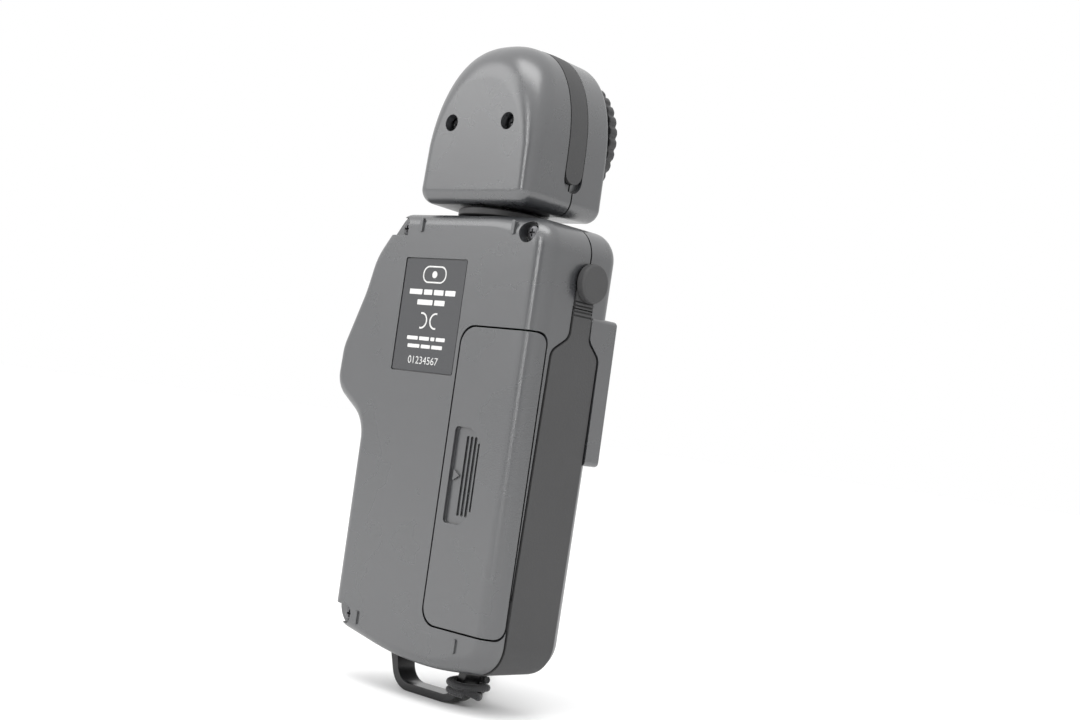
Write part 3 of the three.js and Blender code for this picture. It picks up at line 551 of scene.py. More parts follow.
def head_outline(arch=90):
    """An arch on straight sides, from the right-hand end of its flat bottom."""
    samples = [s for s in rounded_outline([
        (-HEAD_HALF_WIDTH, HEAD_BOTTOM, HEAD_CORNER), (HEAD_HALF_WIDTH, HEAD_BOTTOM, HEAD_CORNER),
        (HEAD_HALF_WIDTH, HEAD_SPRING, 0.01), (-HEAD_HALF_WIDTH, HEAD_SPRING, 0.01),
    ]) if s[1] < HEAD_SPRING - 1]
    rise = HEAD_TOP - HEAD_SPRING
    for i in range(arch + 1):
        t = math.pi * i / arch
        x = HEAD_HALF_WIDTH * math.copysign(abs(math.cos(t)) ** (2 / HEAD_ARCH_POWER), math.cos(t))
        z = HEAD_SPRING + rise * max(math.sin(t), 0) ** (2 / HEAD_ARCH_POWER)
        nx = math.copysign(abs(x / HEAD_HALF_WIDTH) ** (HEAD_ARCH_POWER - 1), x) / HEAD_HALF_WIDTH
        nz = ((z - HEAD_SPRING) / rise) ** (HEAD_ARCH_POWER - 1) / rise
        length = math.hypot(nx, nz)
        samples.append((x, z, nx / length, nz / length))
    start = next(i for i, s in enumerate(samples) if s[0] > 0)
    return samples[start:] + samples[:start]


HEAD_SIDES = (
    head_outline(), HEAD_BACK, HEAD_FRONT,
    lambda s: 3.3 + 7.2 * smoothstep(s[1], 120, HEAD_TOP + 4),
    lambda s: 2.2,
    HEAD_DRAFT,
)


def rectangle(a0, a1, b0, b1, radius):
    return [(a0, b0, radius), (a1, b0, radius), (a1, b1, radius), (a0, b1, radius)]


def around(a, b, half_a, half_b, radius):
    """A rectangle centred on a point."""
    return rectangle(a - half_a, a + half_a, b - half_b, b + half_b, radius)


def grown(sides, extra, radius):
    """A rectangle that is larger than the given one by the same amount all round."""
    a0, a1, b0, b1 = sides
    return rectangle(a0 - extra, a1 + extra, b0 - extra, b1 + extra, radius)


def prism_y(corners, y0, y1, **fine):
    samples = rounded_outline(corners, **fine)
    return loft("prism", [[(s[0], y, s[1]) for s in samples] for y in (y0, y1)])


def prism_x(corners, x0, x1, **fine):
    samples = rounded_outline(corners, **fine)
    return loft("prism", [[(x, s[0], s[1]) for s in samples] for x in (x0, x1)])


def box(x0, x1, y0, y1, z0, z1):
    return loft("box", [[(x0, y, z0), (x1, y, z0), (x1, y, z1), (x0, y, z1)] for y in (y0, y1)])


def circle(a, b, radius, count):
    return [
        (a + radius * math.cos(2 * math.pi * i / count), b + radius * math.sin(2 * math.pi * i / count))
        for i in range(count)
    ]


def rod_y(x, z, radius, y0, y1, count=64):
    return loft("rod", [[(a, y, b) for a, b in circle(x, z, radius, count)] for y in (y0, y1)])


def rod_x(y, z, radius, x0, x1):
    return loft("rod", [[(x, a, b) for a, b in circle(y, z, radius, 64)] for x in (x0, x1)])


def rod_z(x, y, radius, z0, z1):
    return loft("rod", [[(a, b, z) for a, b in circle(x, y, radius, 64)] for z in (z0, z1)])


def turned_y(name, profile, z, count=96, wobble=None):
    """A turned piece about a Y axis through height z. The profile (radius, y) closes on itself."""
    points = []
    for i in range(count):
        angle = 2 * math.pi * i / count
        for r, y in profile:
            radius = r - (wobble(r, y, angle) if wobble else 0)
            points.append((radius * math.cos(angle), y, z + radius * math.sin(angle)))
    return revolved(name, points, count, len(profile))


def turned_z(name, profile):
    points = []
    count = 96
    for i in range(count):
        angle = 2 * math.pi * i / count
        points += [(r * math.cos(angle), r * math.sin(angle), z) for r, z in profile]
    return revolved(name, points, count, len(profile))


def revolved(name, points, count, width):
    faces = []
    for i in range(count):
        for j in range(width):
            a = i * width + j
            b = i * width + (j + 1) % width
            c = ((i + 1) % count) * width + j
            d = ((i + 1) % count) * width + (j + 1) % width
            faces.append([a, b, d, c])
    return mesh_piece(name, points, faces)


def bevelled(piece, width, segments=3, angle=40):
    modifier = piece.modifiers.new("bevel", "BEVEL")
    modifier.width = width * MM
    modifier.segments = segments
    modifier.limit_method = "ANGLE"
    modifier.angle_limit = math.radians(angle)
    return bake(piece)


def named(piece, name):
    piece.name = name
    piece.data.name = name
    return piece


def back_half():
    """Everything behind the parting seam."""
    return box(-FAR, FAR, PARTING_Y + SEAM / 2, FAR, -FAR, 2 * FAR)


def front_half():
    """Everything in front of the parting seam."""
    return box(-FAR, FAR, -FAR, PARTING_Y - SEAM / 2, -FAR, 2 * FAR)


# ------------------------------------------------------------------ the cord

CORD_RADIUS = 0.9
FLOOR = -CASE_LIFT + CORD_RADIUS + 0.1
CORD_START = (-9.0, -5.4)
CORD_HEADING = (0.681, -0.732)
HALF_PITCH = 1.1
STRAND = [(0, -4.4), (4, -5.3), (9, -6.8), (15, FLOOR), (25, FLOOR), (35, FLOOR), (45, FLOOR)]
HANK = {"near": 59.0, "far": 83.8, "radius": 3.7, "layer": 1.86}
HANK_TURNS = 3


def along(distance, offset, height):
    """A point that lies so far along the cord's heading, and so far to the side of it."""
    dx, dy = CORD_HEADING
    return CORD_START[0] + dx * distance - dy * offset, CORD_START[1] + dy * distance + dx * offset, height


def hank_route():
    """Turns that lie on each other. Each one climbs a layer on its way back to the knot."""
    route = []
    near, far, radius, layer = HANK["near"], HANK["far"], HANK["radius"], HANK["layer"]
    for turn in range(HANK_TURNS):
        z = FLOOR + turn * layer
        route += [along(d, -radius, z) for d in (near + 3, near + 9, near + 17, far)]
        for k in range(1, 8):
            angle = -math.pi / 2 + math.pi * k / 8
            route.append(along(far + radius * math.cos(angle), radius * math.sin(angle), z))
        route += [along(d, radius, z) for d in (far, near + 18, near + 13)]
        route += [along(near + 9, radius, z + 0.3 * layer), along(near + 5, radius, z + 0.8 * layer)]
        route.append(along(near, radius, z + layer))
        if turn + 1 < HANK_TURNS:
            for k in range(1, 8):
                angle = math.pi / 2 + math.pi * k / 8
                route.append(along(near + radius * math.cos(angle), radius * math.sin(angle), z + layer))
    return route


def cord_route():
    out = [along(d, -HALF_PITCH, z) for d, z in STRAND]
    out += [along(50, -1.5, FLOOR), along(54, -2.6, FLOOR), along(58, -3.5, FLOOR)]
    home = [along(55.2, 3.3, -3.5), along(52.0, 2.5, -5.6), along(49.0, 1.7, FLOOR + 0.4)]
    home += [along(d, HALF_PITCH, z) for d, z in STRAND[::-1]]
    return out + hank_route() + home


def catmull(points, pieces=10):
    """Points along a smooth curve through the given ones."""
    vectors = [Vector(p) for p in points]
    line = []
    for i in range(len(vectors) - 1):
        p0 = vectors[max(i - 1, 0)]
        p1, p2 = vectors[i], vectors[i + 1]
        p3 = vectors[min(i + 2, len(vectors) - 1)]
        for k in range(pieces):
            t = k / pieces
            line.append(0.5 * (
                2 * p1 + (p2 - p0) * t + (2 * p0 - 5 * p1 + 4 * p2 - p3) * t ** 2
                + (3 * p1 - p0 - 3 * p2 + p3) * t ** 3
            ))
    return line + [vectors[-1]]


def cord_curve(name, points):
    """A round cord along a smooth line, as a curve of one open spline."""
    curve = bpy.data.curves.new(name, "CURVE")
    curve.dimensions = "3D"
    curve.bevel_depth = CORD_RADIUS * MM
    curve.bevel_resolution = 5
    curve.use_fill_caps = True
    line = catmull(points)
    spline = curve.splines.new("POLY")
    spline.points.add(len(line) - 1)
    for point, place in zip(spline.points, line):
        point.co = (*in_row(place), 1.0)
    spline.use_smooth = True
    piece = bpy.data.objects.new(name, curve)
    bpy.context.scene.collection.objects.link(piece)
    return piece


def wrap_route():
    """Two wraps of cord round the grip-side leg of the bar, closed by a strand that crosses over them."""
    corners = [(-14.4, 5.5), (-9.5, 5.5), (-9.5, -2.6), (-14.4, -2.6)]
    route = []
    for turn in range(2):
        for k, (x, y) in enumerate(corners):
            route.append((x + 0.35 * (turn * 4 + k) / 8, y, -5.3 + 1.9 * (turn + k / 4)))
    return route


cord = cord_curve("wrist_cord", cord_route())
knot = cord_curve("cord_knot_wraps", wrap_route())
crossing = cord_curve("cord_knot_crossing", [
    (-11.2, -3.0, -4.6), (-13.5, -1.0, -6.2), (-14.9, 2.0, -5.4), (-13.2, 5.6, -4.0), (-9.9, 5.9, -2.9),
    (-8.9, 2.6, -3.2), (-8.7, -2.2, -4.2),
])
dress(cord, "case", "cord_nylon", "cord_strand_out", "cord_strand_back", "cord_hank")
dress(knot, "case", "cord_nylon", "cord_knot")
dress(crossing, "case", "cord_nylon")


# ------------------------------------------------------------------ shared cutters of the case


def grip_corners(extra):
    return [
        (-8.6 - extra, -20, 1), (8.1 + extra, -20, 1), (7.9 + extra, 20, 90),
        (6.75 + extra, 79.5 + extra / 2, 3),
        (0.95 + extra, 83.4 + extra / 2, 3), (0.95 + extra, 90.6 + extra, 0.2),
        (-5.65 - extra, 90.6 + extra, 0.2), (-5.65 - extra, 83.4 + extra / 2, 3),
        (-10 - extra, 79.5 + extra / 2, 3), (-10 - extra, 55, 90),
    ]


def grip_seat():
    return cut(prism_x(grip_corners(DRAWN_GAP), -FAR, GRIP_SEAT_END), casing(CASE_SIDES, 1.4))


def side_cutters():
    return [
        grip_seat(),
        box(-FAR, SIDE_X + 1.4, -5.95, 1.25, 89.6, 95.4),
        rod_x(*SYNC_AXIS, 3.9, -FAR, SIDE_X + 6),
        rod_z(0, 0, 8.3, CASE_TOP - 6, CASE_TOP + 2),
    ]


def door_prism(extra):
    face = prism_y([
        (-FAR, DOOR_BOTTOM - extra, 1), (DOOR_LEFT + extra, DOOR_BOTTOM - extra, 4.5),
        (DOOR_LEFT + extra, DOOR_TOP + extra, 4.5), (-FAR, DOOR_TOP + extra, 1),
    ], 0, FAR)
    lip = prism_x([
        (8.8 - extra, DOOR_BOTTOM - extra, 3), (FAR, DOOR_BOTTOM - extra, 1),
        (FAR, DOOR_TOP + extra, 1), (8.8 - extra, DOOR_TOP + extra, 3),
    ], -FAR, FAR)
    return common(face, lip)


# ------------------------------------------------------------------ back of the case


def screw_pockets():
    floor = 10.4
    return [
        prism_y([(19.8, 105.2, 0.3), (40, 105.2, 1), (40, 110, 1), (19.8, 110, 2.3)], floor, FAR),
        rod_y(-21.4, 107, 2.7, floor, FAR),
        prism_y([(20.8, 5.2, 2.2), (40, 5.2, 1), (40, 9.9, 1), (20.8, 9.9, 2.2)], floor, FAR),
    ]


def back_cover():
    cover = cut(casing(CASE_SIDES, 0), casing(CASE_SIDES, CASE_WALL, 6, 4))
    common(cover, back_half())
    bosses = [common(rod_y(x, z, 3.6, PARTING_Y + SEAM / 2, CASE_BACK), casing(CASE_SIDES, 0))
              for x, z in CASE_SCREWS.values()]
    feet = [
        bevelled(prism_y(around(x, z, 0.55, 1.8, 0.5), CASE_BACK - 1.5, CASE_BACK + 0.5), 0.2, 2)
        for x, z in ((18.5, 7.4), (-16.6, 7), (14.9, 107.9), (-16.9, 107.9))
    ]
    join(cover, *bosses, *feet)
    seat = prism_y(grown(LABEL, 0.25, 0.5), CASE_BACK - 0.6, FAR)
    slots = [box(*sorted((side * 10.6, side * 15.8)), -1.8, 4.8, -4, 4) for side in (-1, 1)]
    pilots = [rod_y(x, z, PILOT_RADIUS, -FAR, FAR, 32) for x, z in CASE_SCREWS.values()]
    cut(cover, *screw_pockets(), *pilots, seat, *slots, door_prism(DRAWN_GAP), *side_cutters())
    finish(named(cover, "back_shell"), "case", "case_plastic", "back_cover")


def battery_door():
    """The door follows the back edge round onto the side. Its thumb grip has four grooves and an arrow."""
    door = cut(casing(CASE_SIDES, 0), casing(CASE_SIDES, DOOR_WALL, 6, 4))
    common(door, door_prism(0))
    recess = prism_y([
        (-15.8, 38.3, 0.8), (-12.2, 35.3, 1), (-6.9, 35.3, 1),
        (-6.9, 58.8, 1), (-12.2, 58.8, 1), (-15.8, 55.9, 0.8),
    ], CASE_BACK - 0.9, FAR)
    grooves = []
    for i in range(4):
        x = -15.2 + i * 1.35
        shortened = 1.4 if i == 0 else 0
        grooves.append(prism_y(
            rectangle(x, x + 0.8, 37.4 + shortened, 56.8 - shortened, 0.35), CASE_BACK - 1.45, FAR,
        ))
    cut(door, recess, *grooves)
    arrow = [(-9.9, 47, 0.1), (-7.9, 45.6, 0.1), (-7.9, 48.4, 0.1)]
    join(door, prism_y(arrow, CASE_BACK - 1, CASE_BACK - 0.35))
    finish(named(door, "battery_door_skin"), "battery_door", "case_plastic", "battery_door")


back_cover()
battery_door()


# ------------------------------------------------------------------ label with generic print


def plate_mark(name, corners, y, height, material="label_print", body="case", slot="label_foil"):
    """A thin printed shape that faces along +Y for a positive height and along -Y for a negative one."""
    piece = prism_y(corners, min(y, y + height), max(y, y + height), chord=0.3)
    dress(smooth(named(piece, name)), body, slot, material=material)


def digits(name, text, x, y, z, size, facing, body, slot, material):
    """Plain numbers laid on a face that looks along +Y or -Y."""
    curve = bpy.data.curves.new(name, "FONT")
    curve.body = text
    curve.size = size * MM
    curve.extrude = 0.02 * MM
    curve.align_x = "CENTER"
    curve.align_y = "CENTER"
    writing = bpy.data.objects.new(name, curve)
    bpy.context.scene.collection.objects.link(writing)
    mesh = bpy.data.meshes.new_from_object(writing.evaluated_get(bpy.context.evaluated_depsgraph_get()))
    bpy.data.objects.remove(writing)
    across = Vector((-facing, 0, 0))
    turn = Matrix((across, Vector((0, 0, 1)), across.cross(Vector((0, 0, 1))))).transposed().to_4x4()
    mesh.transform(Matrix.Translation(in_row((x, y, z))) @ turn)
    piece = bpy.data.objects.new(name, mesh)
    bpy.context.scene.collection.objects.link(piece)
    dress(piece, body, slot, material=material)


def label():
    base = CASE_BACK - 0.5
    plate = bevelled(prism_y(rectangle(*LABEL, 0.4), base, base + 0.4), 0.08, 2)
    finish(named(plate, "label_plate"), "case", "label_foil", "rating_label")
    face = base + 0.4
    middle = (LABEL[0] + LABEL[1]) / 2
    ink = 0.03
    outer = rectangle(middle - 4.2, middle + 4.2, 93.2, 97.6, 2.1)
    inner = rectangle(middle - 3.8, middle + 3.8, 93.6, 97.2, 1.7)
    emblem = prism_y(outer, face, face + ink, chord=0.3)
    cut(emblem, prism_y(inner, face - 1, face + 1, chord=0.3))
    dress(smooth(named(emblem, "label_emblem")), "case", "label_foil", material="label_print")
    plate_mark("label_emblem_dot", rectangle(middle - 0.9, middle + 0.9, 94.5, 96.3, 0.89), face, ink)
    rows = [
        ("title", 90.9, 1.35, [(-8.2, -4.6), (-4.0, -0.6), (0.0, 3.0), (3.6, 8.2)]),
        ("subtitle", 88.3, 1.35, [(-4.9, -1.2), (-0.6, 4.9)]),
        ("note", 79.2, 0.95, [(-6.8, -3.6), (-3.1, -1.7), (-1.2, 2.4), (2.9, 6.8)]),
        ("maker", 77.2, 0.95, [(-6.2, -2.4), (-1.9, 1.4), (1.9, 6.2)]),
    ]
    for row, z, height, spans in rows:
        for i, (a, b) in enumerate(spans):
            corners = rectangle(middle + a, middle + b, z - height / 2, z + height / 2, 0.2)
            plate_mark(f"label_{row}_{i}", corners, face, ink)
    for side in (-1, 1):
        mark = rod_y(middle + side * 2.5, 83.7, 2.1, face, face + ink)
        cut(mark, rod_y(middle + side * 2.5, 83.7, 1.65, face - 1, face + 1))
        cut(mark, box(*sorted((middle + side * 2.9, middle + side * 6)), face - 1, face + 1, 80, 87))
        named(mark, "label_arc_left" if side < 0 else "label_arc_right")
        dress(smooth(mark), "case", "label_foil", material="label_print")
    digits("label_number", "01234567", middle, face + 0.01, 73.6, 2.7, 1, "case", "label_foil", "label_print")


label()


# ------------------------------------------------------------------ front of the case


def key_hole(key, extra):
    x, z, width, height = KEYS[key]
    return rectangle(
        x - width / 2 - extra, x + width / 2 + extra, z - height / 2 - extra, z + height / 2 + extra,
        min(width, height) / 2 + extra - 0.05,
    )


def front_cover():
    cover = casing(CASE_SIDES, 0)
    join(cover, bevelled(prism_y(rectangle(*DISPLAY_BLOCK, 1.2), -15.8, -6.2), 0.35, 3, 60))
    cut(cover, casing(CASE_SIDES, CASE_WALL, 6, 4), prism_y(rectangle(*DISPLAY_HOLLOW, 1), -13.2, -5.2))
    common(cover, front_half())
    join(cover, *[common(rod_y(x, z, 3, CASE_FRONT + 1, PARTING_Y - 0.35), casing(CASE_SIDES, 0))
                  for x, z in CASE_SCREWS.values()])
    holes = [prism_y(key_hole(key, GAP), -FAR, -11) for key in KEYS]
    seat = prism_y(grown(WINDOW, GAP, 1.5), -FAR, -14.1)
    opening = prism_y(grown(WINDOW, -1.5, 1), -FAR, -10)
    pilots = [rod_y(x, z, PILOT_RADIUS, -9.6, FAR, 32) for x, z in CASE_SCREWS.values()]
    cut(cover, *pilots, seat, opening, *holes, *side_cutters())
    finish(named(cover, "front_shell"), "case", "case_plastic", "front_cover")


def lcd_mark(name, corners):
    plate_mark(name, corners, LCD_FACE, -PRINT, "lcd_segment", "case", "lcd_glass")


def display():
    pane = bevelled(prism_y(rectangle(*WINDOW, 1.3), -15.6, -14.4), 0.2, 3)
    finish(named(pane, "window_pane"), "case", "window_acrylic", "display_window")
    rim = prism_y(grown(WINDOW, -0.2, 1.2), -14.38, -14.3)
    cut(rim, prism_y(rectangle(-18.4, 11.4, 60.6, 82, 0.8), -15, -14))
    dress(smooth(named(rim, "window_mask")), "case", "window_acrylic", material="window_frame")
    for name, text, x, z, size in (
        ("time", "125", -10.5, 76.2, 6.4), ("stop", "5.6", 3.0, 75.6, 8.2), ("tenth", "4", 9.2, 68.4, 4.0),
        ("speed", "100", -12.0, 67.6, 3.4),
    ):
        digits(f"lcd_{name}", text, x, LCD_FACE - 0.03, z, size, -1, "case", "lcd_glass", "lcd_segment")
    for i in range(23):
        x = -17.2 + i * 1.25
        tall = 1.6 if i % 3 == 0 else 0.9
        lcd_mark(f"lcd_tick_{i}", rectangle(x - 0.14, x + 0.14, 62.2, 62.2 + tall, 0.05))
    lcd_mark("lcd_bar", rectangle(-17.4, 3.2, 64.4, 65.2, 0.1))


def key(name):
    """A key cap with a softly rounded rim, on a flange that keeps it in the case."""
    slot = "measure_key_plastic" if name == "measure_button" else "key_plastic"
    cap = bevelled(prism_y(key_hole(name, 0), KEY_FACE, -11.5), 0.55, 4, 60)
    join(cap, prism_y(key_hole(name, 0.8), -11.7, -10.9))
    finish(named(cap, f"{name}_cap"), name, slot, name)


def legend(name, index, corners):
    plate_mark(f"{name}_legend_{index}", corners, KEY_FACE, -PRINT, "label_print", name, "key_plastic")


def dress_legend(piece, name, button):
    dress(smooth(named(piece, name)), button, "key_plastic", material="label_print")


def keys():
    for name in KEYS:
        key(name)
    for name, up in (("up_button", 1), ("down_button", -1)):
        x, z = KEYS[name][:2]
        corners = [(x - 1.8, z - 0.9 * up, 0.1), (x + 1.8, z - 0.9 * up, 0.1), (x, z + 1.4 * up, 0.1)]
        legend(name, 0, corners if up > 0 else corners[::-1])
    x, z = KEYS["power_button"][:2]
    loop = prism_y(around(x, z, 2.1, 2.1, 2.09), -14.94, KEY_FACE, chord=0.3)
    hole = prism_y(around(x, z, 1.6, 1.6, 1.59), -16, -14, chord=0.3)
    cut(loop, hole, box(x - 0.8, x + 0.8, -16, -14, z + 1, z + 4))
    dress_legend(loop, "power_button_legend_loop", "power_button")
    legend("power_button", 1, rectangle(x - 0.25, x + 0.25, z + 0.3, z + 2.6, 0.1))
    for name, count in (("mode_button", 3), ("iso_button", 2), ("memory_button", 1), ("clear_button", 4)):
        x, z = KEYS[name][:2]
        for i in range(count):
            left = x - (count - 1) * 0.8 + i * 1.6
            legend(name, i, around(left, z, 0.45, 0.45, 0.44))
    x, z = KEYS["measure_button"][:2]
    ring = rod_y(x, z, 2.4, -14.94, KEY_FACE)
    cut(ring, rod_y(x, z, 1.9, -16, -14))
    dress_legend(ring, "measure_button_legend", "measure_button")


front_cover()
display()
keys()


# ------------------------------------------------------------------ rubber side grip and sync cap


def ribs(z0):
    """Two cutters for the ribbed hinge of the cap."""
    lines = (z0, z0 + 0.95)
    return [prism_x(rectangle(-7, 3, z, z + 0.4, 0.05), -FAR, SIDE_X + 0.1) for z in lines]


def side_grip():
    grip = cut(casing(CASE_SIDES, -0.35), casing(CASE_SIDES, 1.1))
    common(grip, prism_x(grip_corners(0), -FAR, GRIP_END))
    cut(grip, *ribs(88.9))
    finish(named(grip, "rubber_grip"), "case", "grip_rubber", "side_grip")


def sync_cap():
    y, z = SYNC_AXIS
    radius = 4.8
    cap = box(SIDE_X - 0.35, SIDE_X + 1.1, -5.65, 0.95, 90.9, 95.1)
    cut(cap, rod_x(y, z, 4.3, SIDE_X, 0), *ribs(91.3))
    profile = [(radius - 0.15, -28.8), (radius, -28.95), (radius, -30.3)]
    for k in range(1, 7):
        angle = math.pi / 2 * k / 6
        profile.append((radius - 0.7 + 0.7 * math.cos(angle), -30.3 - 0.7 * math.sin(angle)))
    profile.append((3.1, -30.94))
    rings = [[(x, a, b) for a, b in circle(y, z, r, 72)] for r, x in profile]
    join(cap, loft("disc", rings))
    finish(named(cap, "sync_cap_cover"), "sync_cap", "grip_rubber", "sync_cap")


side_grip()
sync_cap()


# ------------------------------------------------------------------ head


def band_corners(extra, end):
    return [
        (-5.7 - extra, end, 3.05 + extra), (0.5 + extra, end, 3.05 + extra), (0.5 + extra, 190, 1),
        (-5.7 - extra, 190, 1),
    ]


def band_groove():
    return cut(prism_x(band_corners(0.25, 119.4), -FAR, FAR), casing(HEAD_SIDES, 1.3))


def neck_bore():
    return rod_z(0, 0, NECK_BORE, HEAD_BOTTOM - 3, HEAD_BOTTOM + 6)


def head_back():
    back = cut(casing(HEAD_SIDES, 0), casing(HEAD_SIDES, HEAD_WALL, 6, 4))
    common(back, back_half())
    join(back, *[rod_y(x, z, 3.4, PARTING_Y + SEAM / 2, HEAD_BACK - 1) for x, z in HEAD_SCREWS.values()])
    holes = [rod_y(x, z, 2.15, HEAD_BACK - 3.4, FAR) for x, z in HEAD_SCREWS.values()]
    pilots = [rod_y(x, z, PILOT_RADIUS, -FAR, FAR, 32) for x, z in HEAD_SCREWS.values()]
    cut(back, *holes, *pilots, band_groove(), neck_bore())
    finish(named(back, "head_back_skin"), "head", "case_plastic", "head_back_shell")


def head_front():
    front = cut(casing(HEAD_SIDES, 0), casing(HEAD_SIDES, HEAD_WALL, 6, 4))
    join(front, rod_y(0, RING_Z, 14.3, HEAD_FRONT + 1, -10.8, 96))
    common(front, front_half())
    join(front, *[rod_y(x, z, 2.6, -11.2, PARTING_Y - 0.35) for x, z in HEAD_SCREWS.values()])
    cut(
        front, rod_y(0, RING_Z, 12.9, -FAR, -12.2, 96), rod_y(0, RING_Z, 5.5, -FAR, 0),
        band_groove(), neck_bore(),
        *[rod_y(x, z, PILOT_RADIUS, -11.3, FAR, 32) for x, z in HEAD_SCREWS.values()],
        box(-22, -19, -14.6, -9.8, RING_Z - 0.15, RING_Z + 0.15),
    )
    finish(named(front, "head_front_skin"), "head", "case_plastic", "head_front_shell")


def head_band():
    band = cut(casing(HEAD_SIDES, -0.05), casing(HEAD_SIDES, 1))
    common(band, prism_x(band_corners(0, 121.6), -FAR, FAR))
    finish(named(band, "head_band_strip"), "head", "grip_rubber", "head_band")


def diffuser():
    """A scalloped turning ring with a hemisphere of opal plastic held in its rim."""
    notches = 36

    def scallop(radius, y, angle):
        if radius < RING_RADIUS - 1.2 or y > -16.05:
            return 0
        wave = 0.5 - 0.5 * math.cos(notches * angle)
        return 0.5 * wave ** 2.2

    ring = turned_y("ring_body", [
        (11.2, -12.7), (11.2, -17.2), (14.9, -17.2), (14.9, -18.9), (15.1, -19.1),
        (17.0, -19.1), (17.5, -19.0), (17.9, -18.7),
        (RING_RADIUS, -18.3), (RING_RADIUS, -17.2), (RING_RADIUS, -16.3),
        (17.9, -16.1), (17.6, -16.0), (12.6, -16.0), (12.6, -12.7),
    ], RING_Z, 720, scallop)
    finish(named(ring, "diffuser_ring_scalloped"), "diffuser", "dark_plastic", "diffuser_ring")
    base = -17.5
    steps = 40
    angles = [math.pi / 2 * i / steps for i in range(steps + 1)]
    outer = [(14 * math.cos(angle), base - 14 * math.sin(angle)) for angle in angles]
    inner = [(12.8 * math.cos(angle), base - 12.8 * math.sin(angle)) for angle in angles]
    rim = [(14.6, base), (14.6, base - 0.7), (14.5, base - 0.8), (14.0, base - 0.8)]
    arc = [p for p in outer if p[1] < base - 0.9]
    profile = [(max(r, 0.0), y) for r, y in rim + arc + inner[::-1]]
    dome = turned_y("dome_body", profile, RING_Z)
    finish(named(dome, "diffuser_dome_opal"), "diffuser", "opal_plastic", "diffuser_dome")


def neck():
    piece = turned_z("neck_body", [
        (3, 105.4), (8, 105.4), (8, 106.6), (6.2, 106.6), (6.2, 108.2), (8, 108.2), (8, 111.3), (11.2, 111.3),
        (11.5, 111.6), (11.5, 112.9), (11.2, 113.2), (7, 113.2), (7, 118.6), (3, 118.6),
    ])
    finish(named(piece, "neck_turned"), "head", "dark_plastic", "swivel_neck")


head_back()
head_front()
head_band()
diffuser()
neck()


# ------------------------------------------------------------------ screws


def screw(name, x, z, top, body, node):
    """A pan head with a tapering cross recess, on a plain shank."""
    head = turned_screw_head(x, z, top)
    shank = rod_y(x, z, 1, top - SCREW_LENGTH, top - 1.1, 32)
    join(head, shank)
    for wide, high in ((1.2, 0.28), (0.28, 1.2)):
        recess = loft("recess", [
            [(x - w, y, z - h), (x + w, y, z - h), (x + w, y, z + h), (x - w, y, z + h)]
            for y, w, h in ((top - 0.8, wide * 0.6, high * 0.6), (top + 0.5, wide, high))
        ])
        cut(head, recess)
    finish(named(head, f"{name}_cross"), body, "screw_steel", node)


def turned_screw_head(x, z, top):
    profile = [(1.75, top - 1.2), (1.85, top - 1.1), (1.85, top - 0.55)]
    profile += [(1.85 * math.cos(a), top - 0.55 + 0.55 * math.sin(a)) for a in (0.3, 0.6, 0.9, 1.2, 1.4)]
    rings = [[(a, y, b) for a, b in circle(x, z, r, 48)] for r, y in profile]
    return loft("head", rings)


for place, (x, z) in CASE_SCREWS.items():
    screw(f"screw_{place}", x, z, CASE_SCREW_TOP, "case", f"case_screw_{place}")
for place, (x, z) in HEAD_SCREWS.items():
    screw(f"screw_head_{place}", x, z, HEAD_SCREW_TOP, "head", f"head_screw_{place}")


# ------------------------------------------------------------------ strap bar


def strap_bar():
    low = -CASE_LIFT
    outer = [(-10.6, low, 6.4), (10.6, low, 6.4), (15, 3.4, 0.4), (-15, 3.4, 0.4)]
    inner = [(-9.4, low + 2, 4.6), (9.4, low + 2, 4.6), (13.6, 10, 0.4), (-13.6, 10, 0.4)]
    bar = prism_y(outer, -1.5, 4.5)
    cut(bar, prism_y(inner, -FAR, FAR))
    bevelled(bar, 0.55, 4, 50)
    finish(named(bar, "strap_bar_moulded"), "case", "bar_plastic", "strap_bar")


strap_bar()


# ------------------------------------------------------------------ finishes of the CAD nodes that stay


def slot_of(node):
    return next(part["material_slot"] for part in frame["record"]["subparts"] if part["node"] == node)


def dress_cad_nodes():
    for node, piece in frame["nodes"].items():
        if not piece.hide_render:
            piece.data.materials.clear()
            piece.data.materials.append(MATERIALS[slot_of(node)])


dress_cad_nodes()


# ------------------------------------------------------------------ floor and light


def add_floor():
    recipe = Recipe("paper")
    cloud = recipe.spread(recipe.noise(4.0, 3.0), 0.0, 1.0)
    tone = recipe.mix(cloud, (0.90, 0.90, 0.90, 1), (0.93, 0.93, 0.93, 1))
    normal = recipe.bump(recipe.noise(1500.0, 2.0), 0.00003, 0.3)
    material = recipe.finish(tone, None, normal, Roughness=0.9)
    mesh = bpy.data.meshes.new("floor")
    size = 8.0
    corners = [(-size, -size, 0), (size, -size, 0), (size, size, 0), (-size, size, 0)]
    mesh.from_pydata(corners, [], [(0, 1, 2, 3)])
    floor = bpy.data.objects.new("floor", mesh)
    bpy.context.scene.collection.objects.link(floor)
    floor.data.materials.append(material)


def add_light(name, place, target, size, power):
    light = bpy.data.lights.new(name, "AREA")
    light.shape = "RECTANGLE"
    light.size, light.size_y = size
    light.energy = power
    lamp = bpy.data.objects.new(name, light)
    bpy.context.scene.collection.objects.link(lamp)
    lamp.location = place
    lamp.rotation_euler = (Vector(target) - Vector(place)).to_track_quat("-Z", "Y").to_euler()
    lamp.visible_camera = False


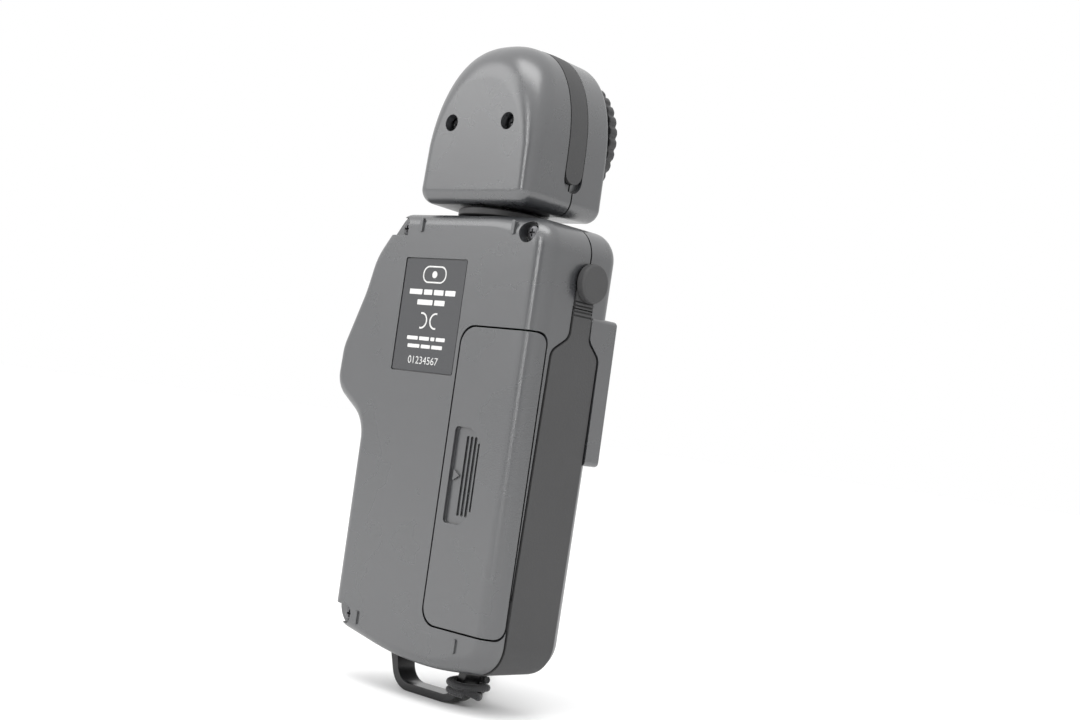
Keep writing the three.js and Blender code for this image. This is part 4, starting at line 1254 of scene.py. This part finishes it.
def add_world():
    """White all round for the camera. What lights the object is brightest overhead, with one upright
    dark strip, low down behind the meter's back, that draws the rounded edges."""
    world = bpy.data.worlds.new("studio")
    bpy.context.scene.world = world
    world.use_nodes = True
    tree = world.node_tree
    nodes = tree.nodes
    nodes.clear()

    def add(kind, **settings):
        node = nodes.new(kind)
        for key_name, value in settings.items():
            setattr(node, key_name, value)
        return node

    def dot(source, direction):
        node = add("ShaderNodeVectorMath", operation="DOT_PRODUCT")
        tree.links.new(source, node.inputs[0])
        node.inputs[1].default_value = direction
        return node.outputs["Value"]

    def ranged(source, low, high, start, end):
        node = add("ShaderNodeMapRange", interpolation_type="SMOOTHSTEP")
        for name, value in (("From Min", start), ("From Max", end), ("To Min", low), ("To Max", high)):
            node.inputs[name].default_value = value
        tree.links.new(source, node.inputs["Value"])
        return node.outputs["Result"]

    def multiplied(first, second):
        node = add("ShaderNodeMath", operation="MULTIPLY")
        tree.links.new(first, node.inputs[0])
        tree.links.new(second, node.inputs[1])
        return node.outputs[0]

    direction = add("ShaderNodeTexCoord").outputs["Generated"]
    level = add("ShaderNodeVectorMath", operation="MULTIPLY")
    level.inputs[1].default_value = (1, 1, 0)
    tree.links.new(direction, level.inputs[0])
    flat = add("ShaderNodeVectorMath", operation="NORMALIZE")
    tree.links.new(level.outputs[0], flat.inputs[0])
    overhead = (0.10, 0.22, 0.97)
    behind = (-0.199, 0.98, 0)
    glow = ranged(dot(direction, overhead), 0.70, 1.30, -0.8, 0.9)
    side = ranged(dot(flat.outputs[0], behind), 0.0, 1.0, 0.90, 0.97)
    low = ranged(dot(direction, (0, 0, 1)), 1.0, 0.0, 0.35, 0.60)
    dimming = ranged(multiplied(side, low), 1.0, 0.03, 0.0, 1.0)
    lighting = add("ShaderNodeBackground")
    tree.links.new(multiplied(glow, dimming), lighting.inputs["Strength"])
    seen = add("ShaderNodeBackground")
    choice = add("ShaderNodeMixShader")
    for node in (lighting, seen):
        node.inputs["Color"].default_value = (1, 1, 1, 1)
    tree.links.new(add("ShaderNodeLightPath").outputs["Is Camera Ray"], choice.inputs[0])
    tree.links.new(lighting.outputs[0], choice.inputs[1])
    tree.links.new(seen.outputs[0], choice.inputs[2])
    tree.links.new(choice.outputs[0], add("ShaderNodeOutputWorld").inputs["Surface"])


add_floor()
add_light("key_softbox", (0.75, 0.95, 0.75), (0, 0, 0.08), (0.9, 0.9), 4.5)
add_light("top_softbox", (-0.15, 0.35, 1.1), (0, 0, 0.1), (0.8, 0.5), 4.0)
add_light("edge_softbox", (-0.20, 0.98, 0.40), (0, 0, 0.10), (0.05, 0.60), 2.0)
add_world()
bpy.context.scene.view_settings.view_transform = "Standard"
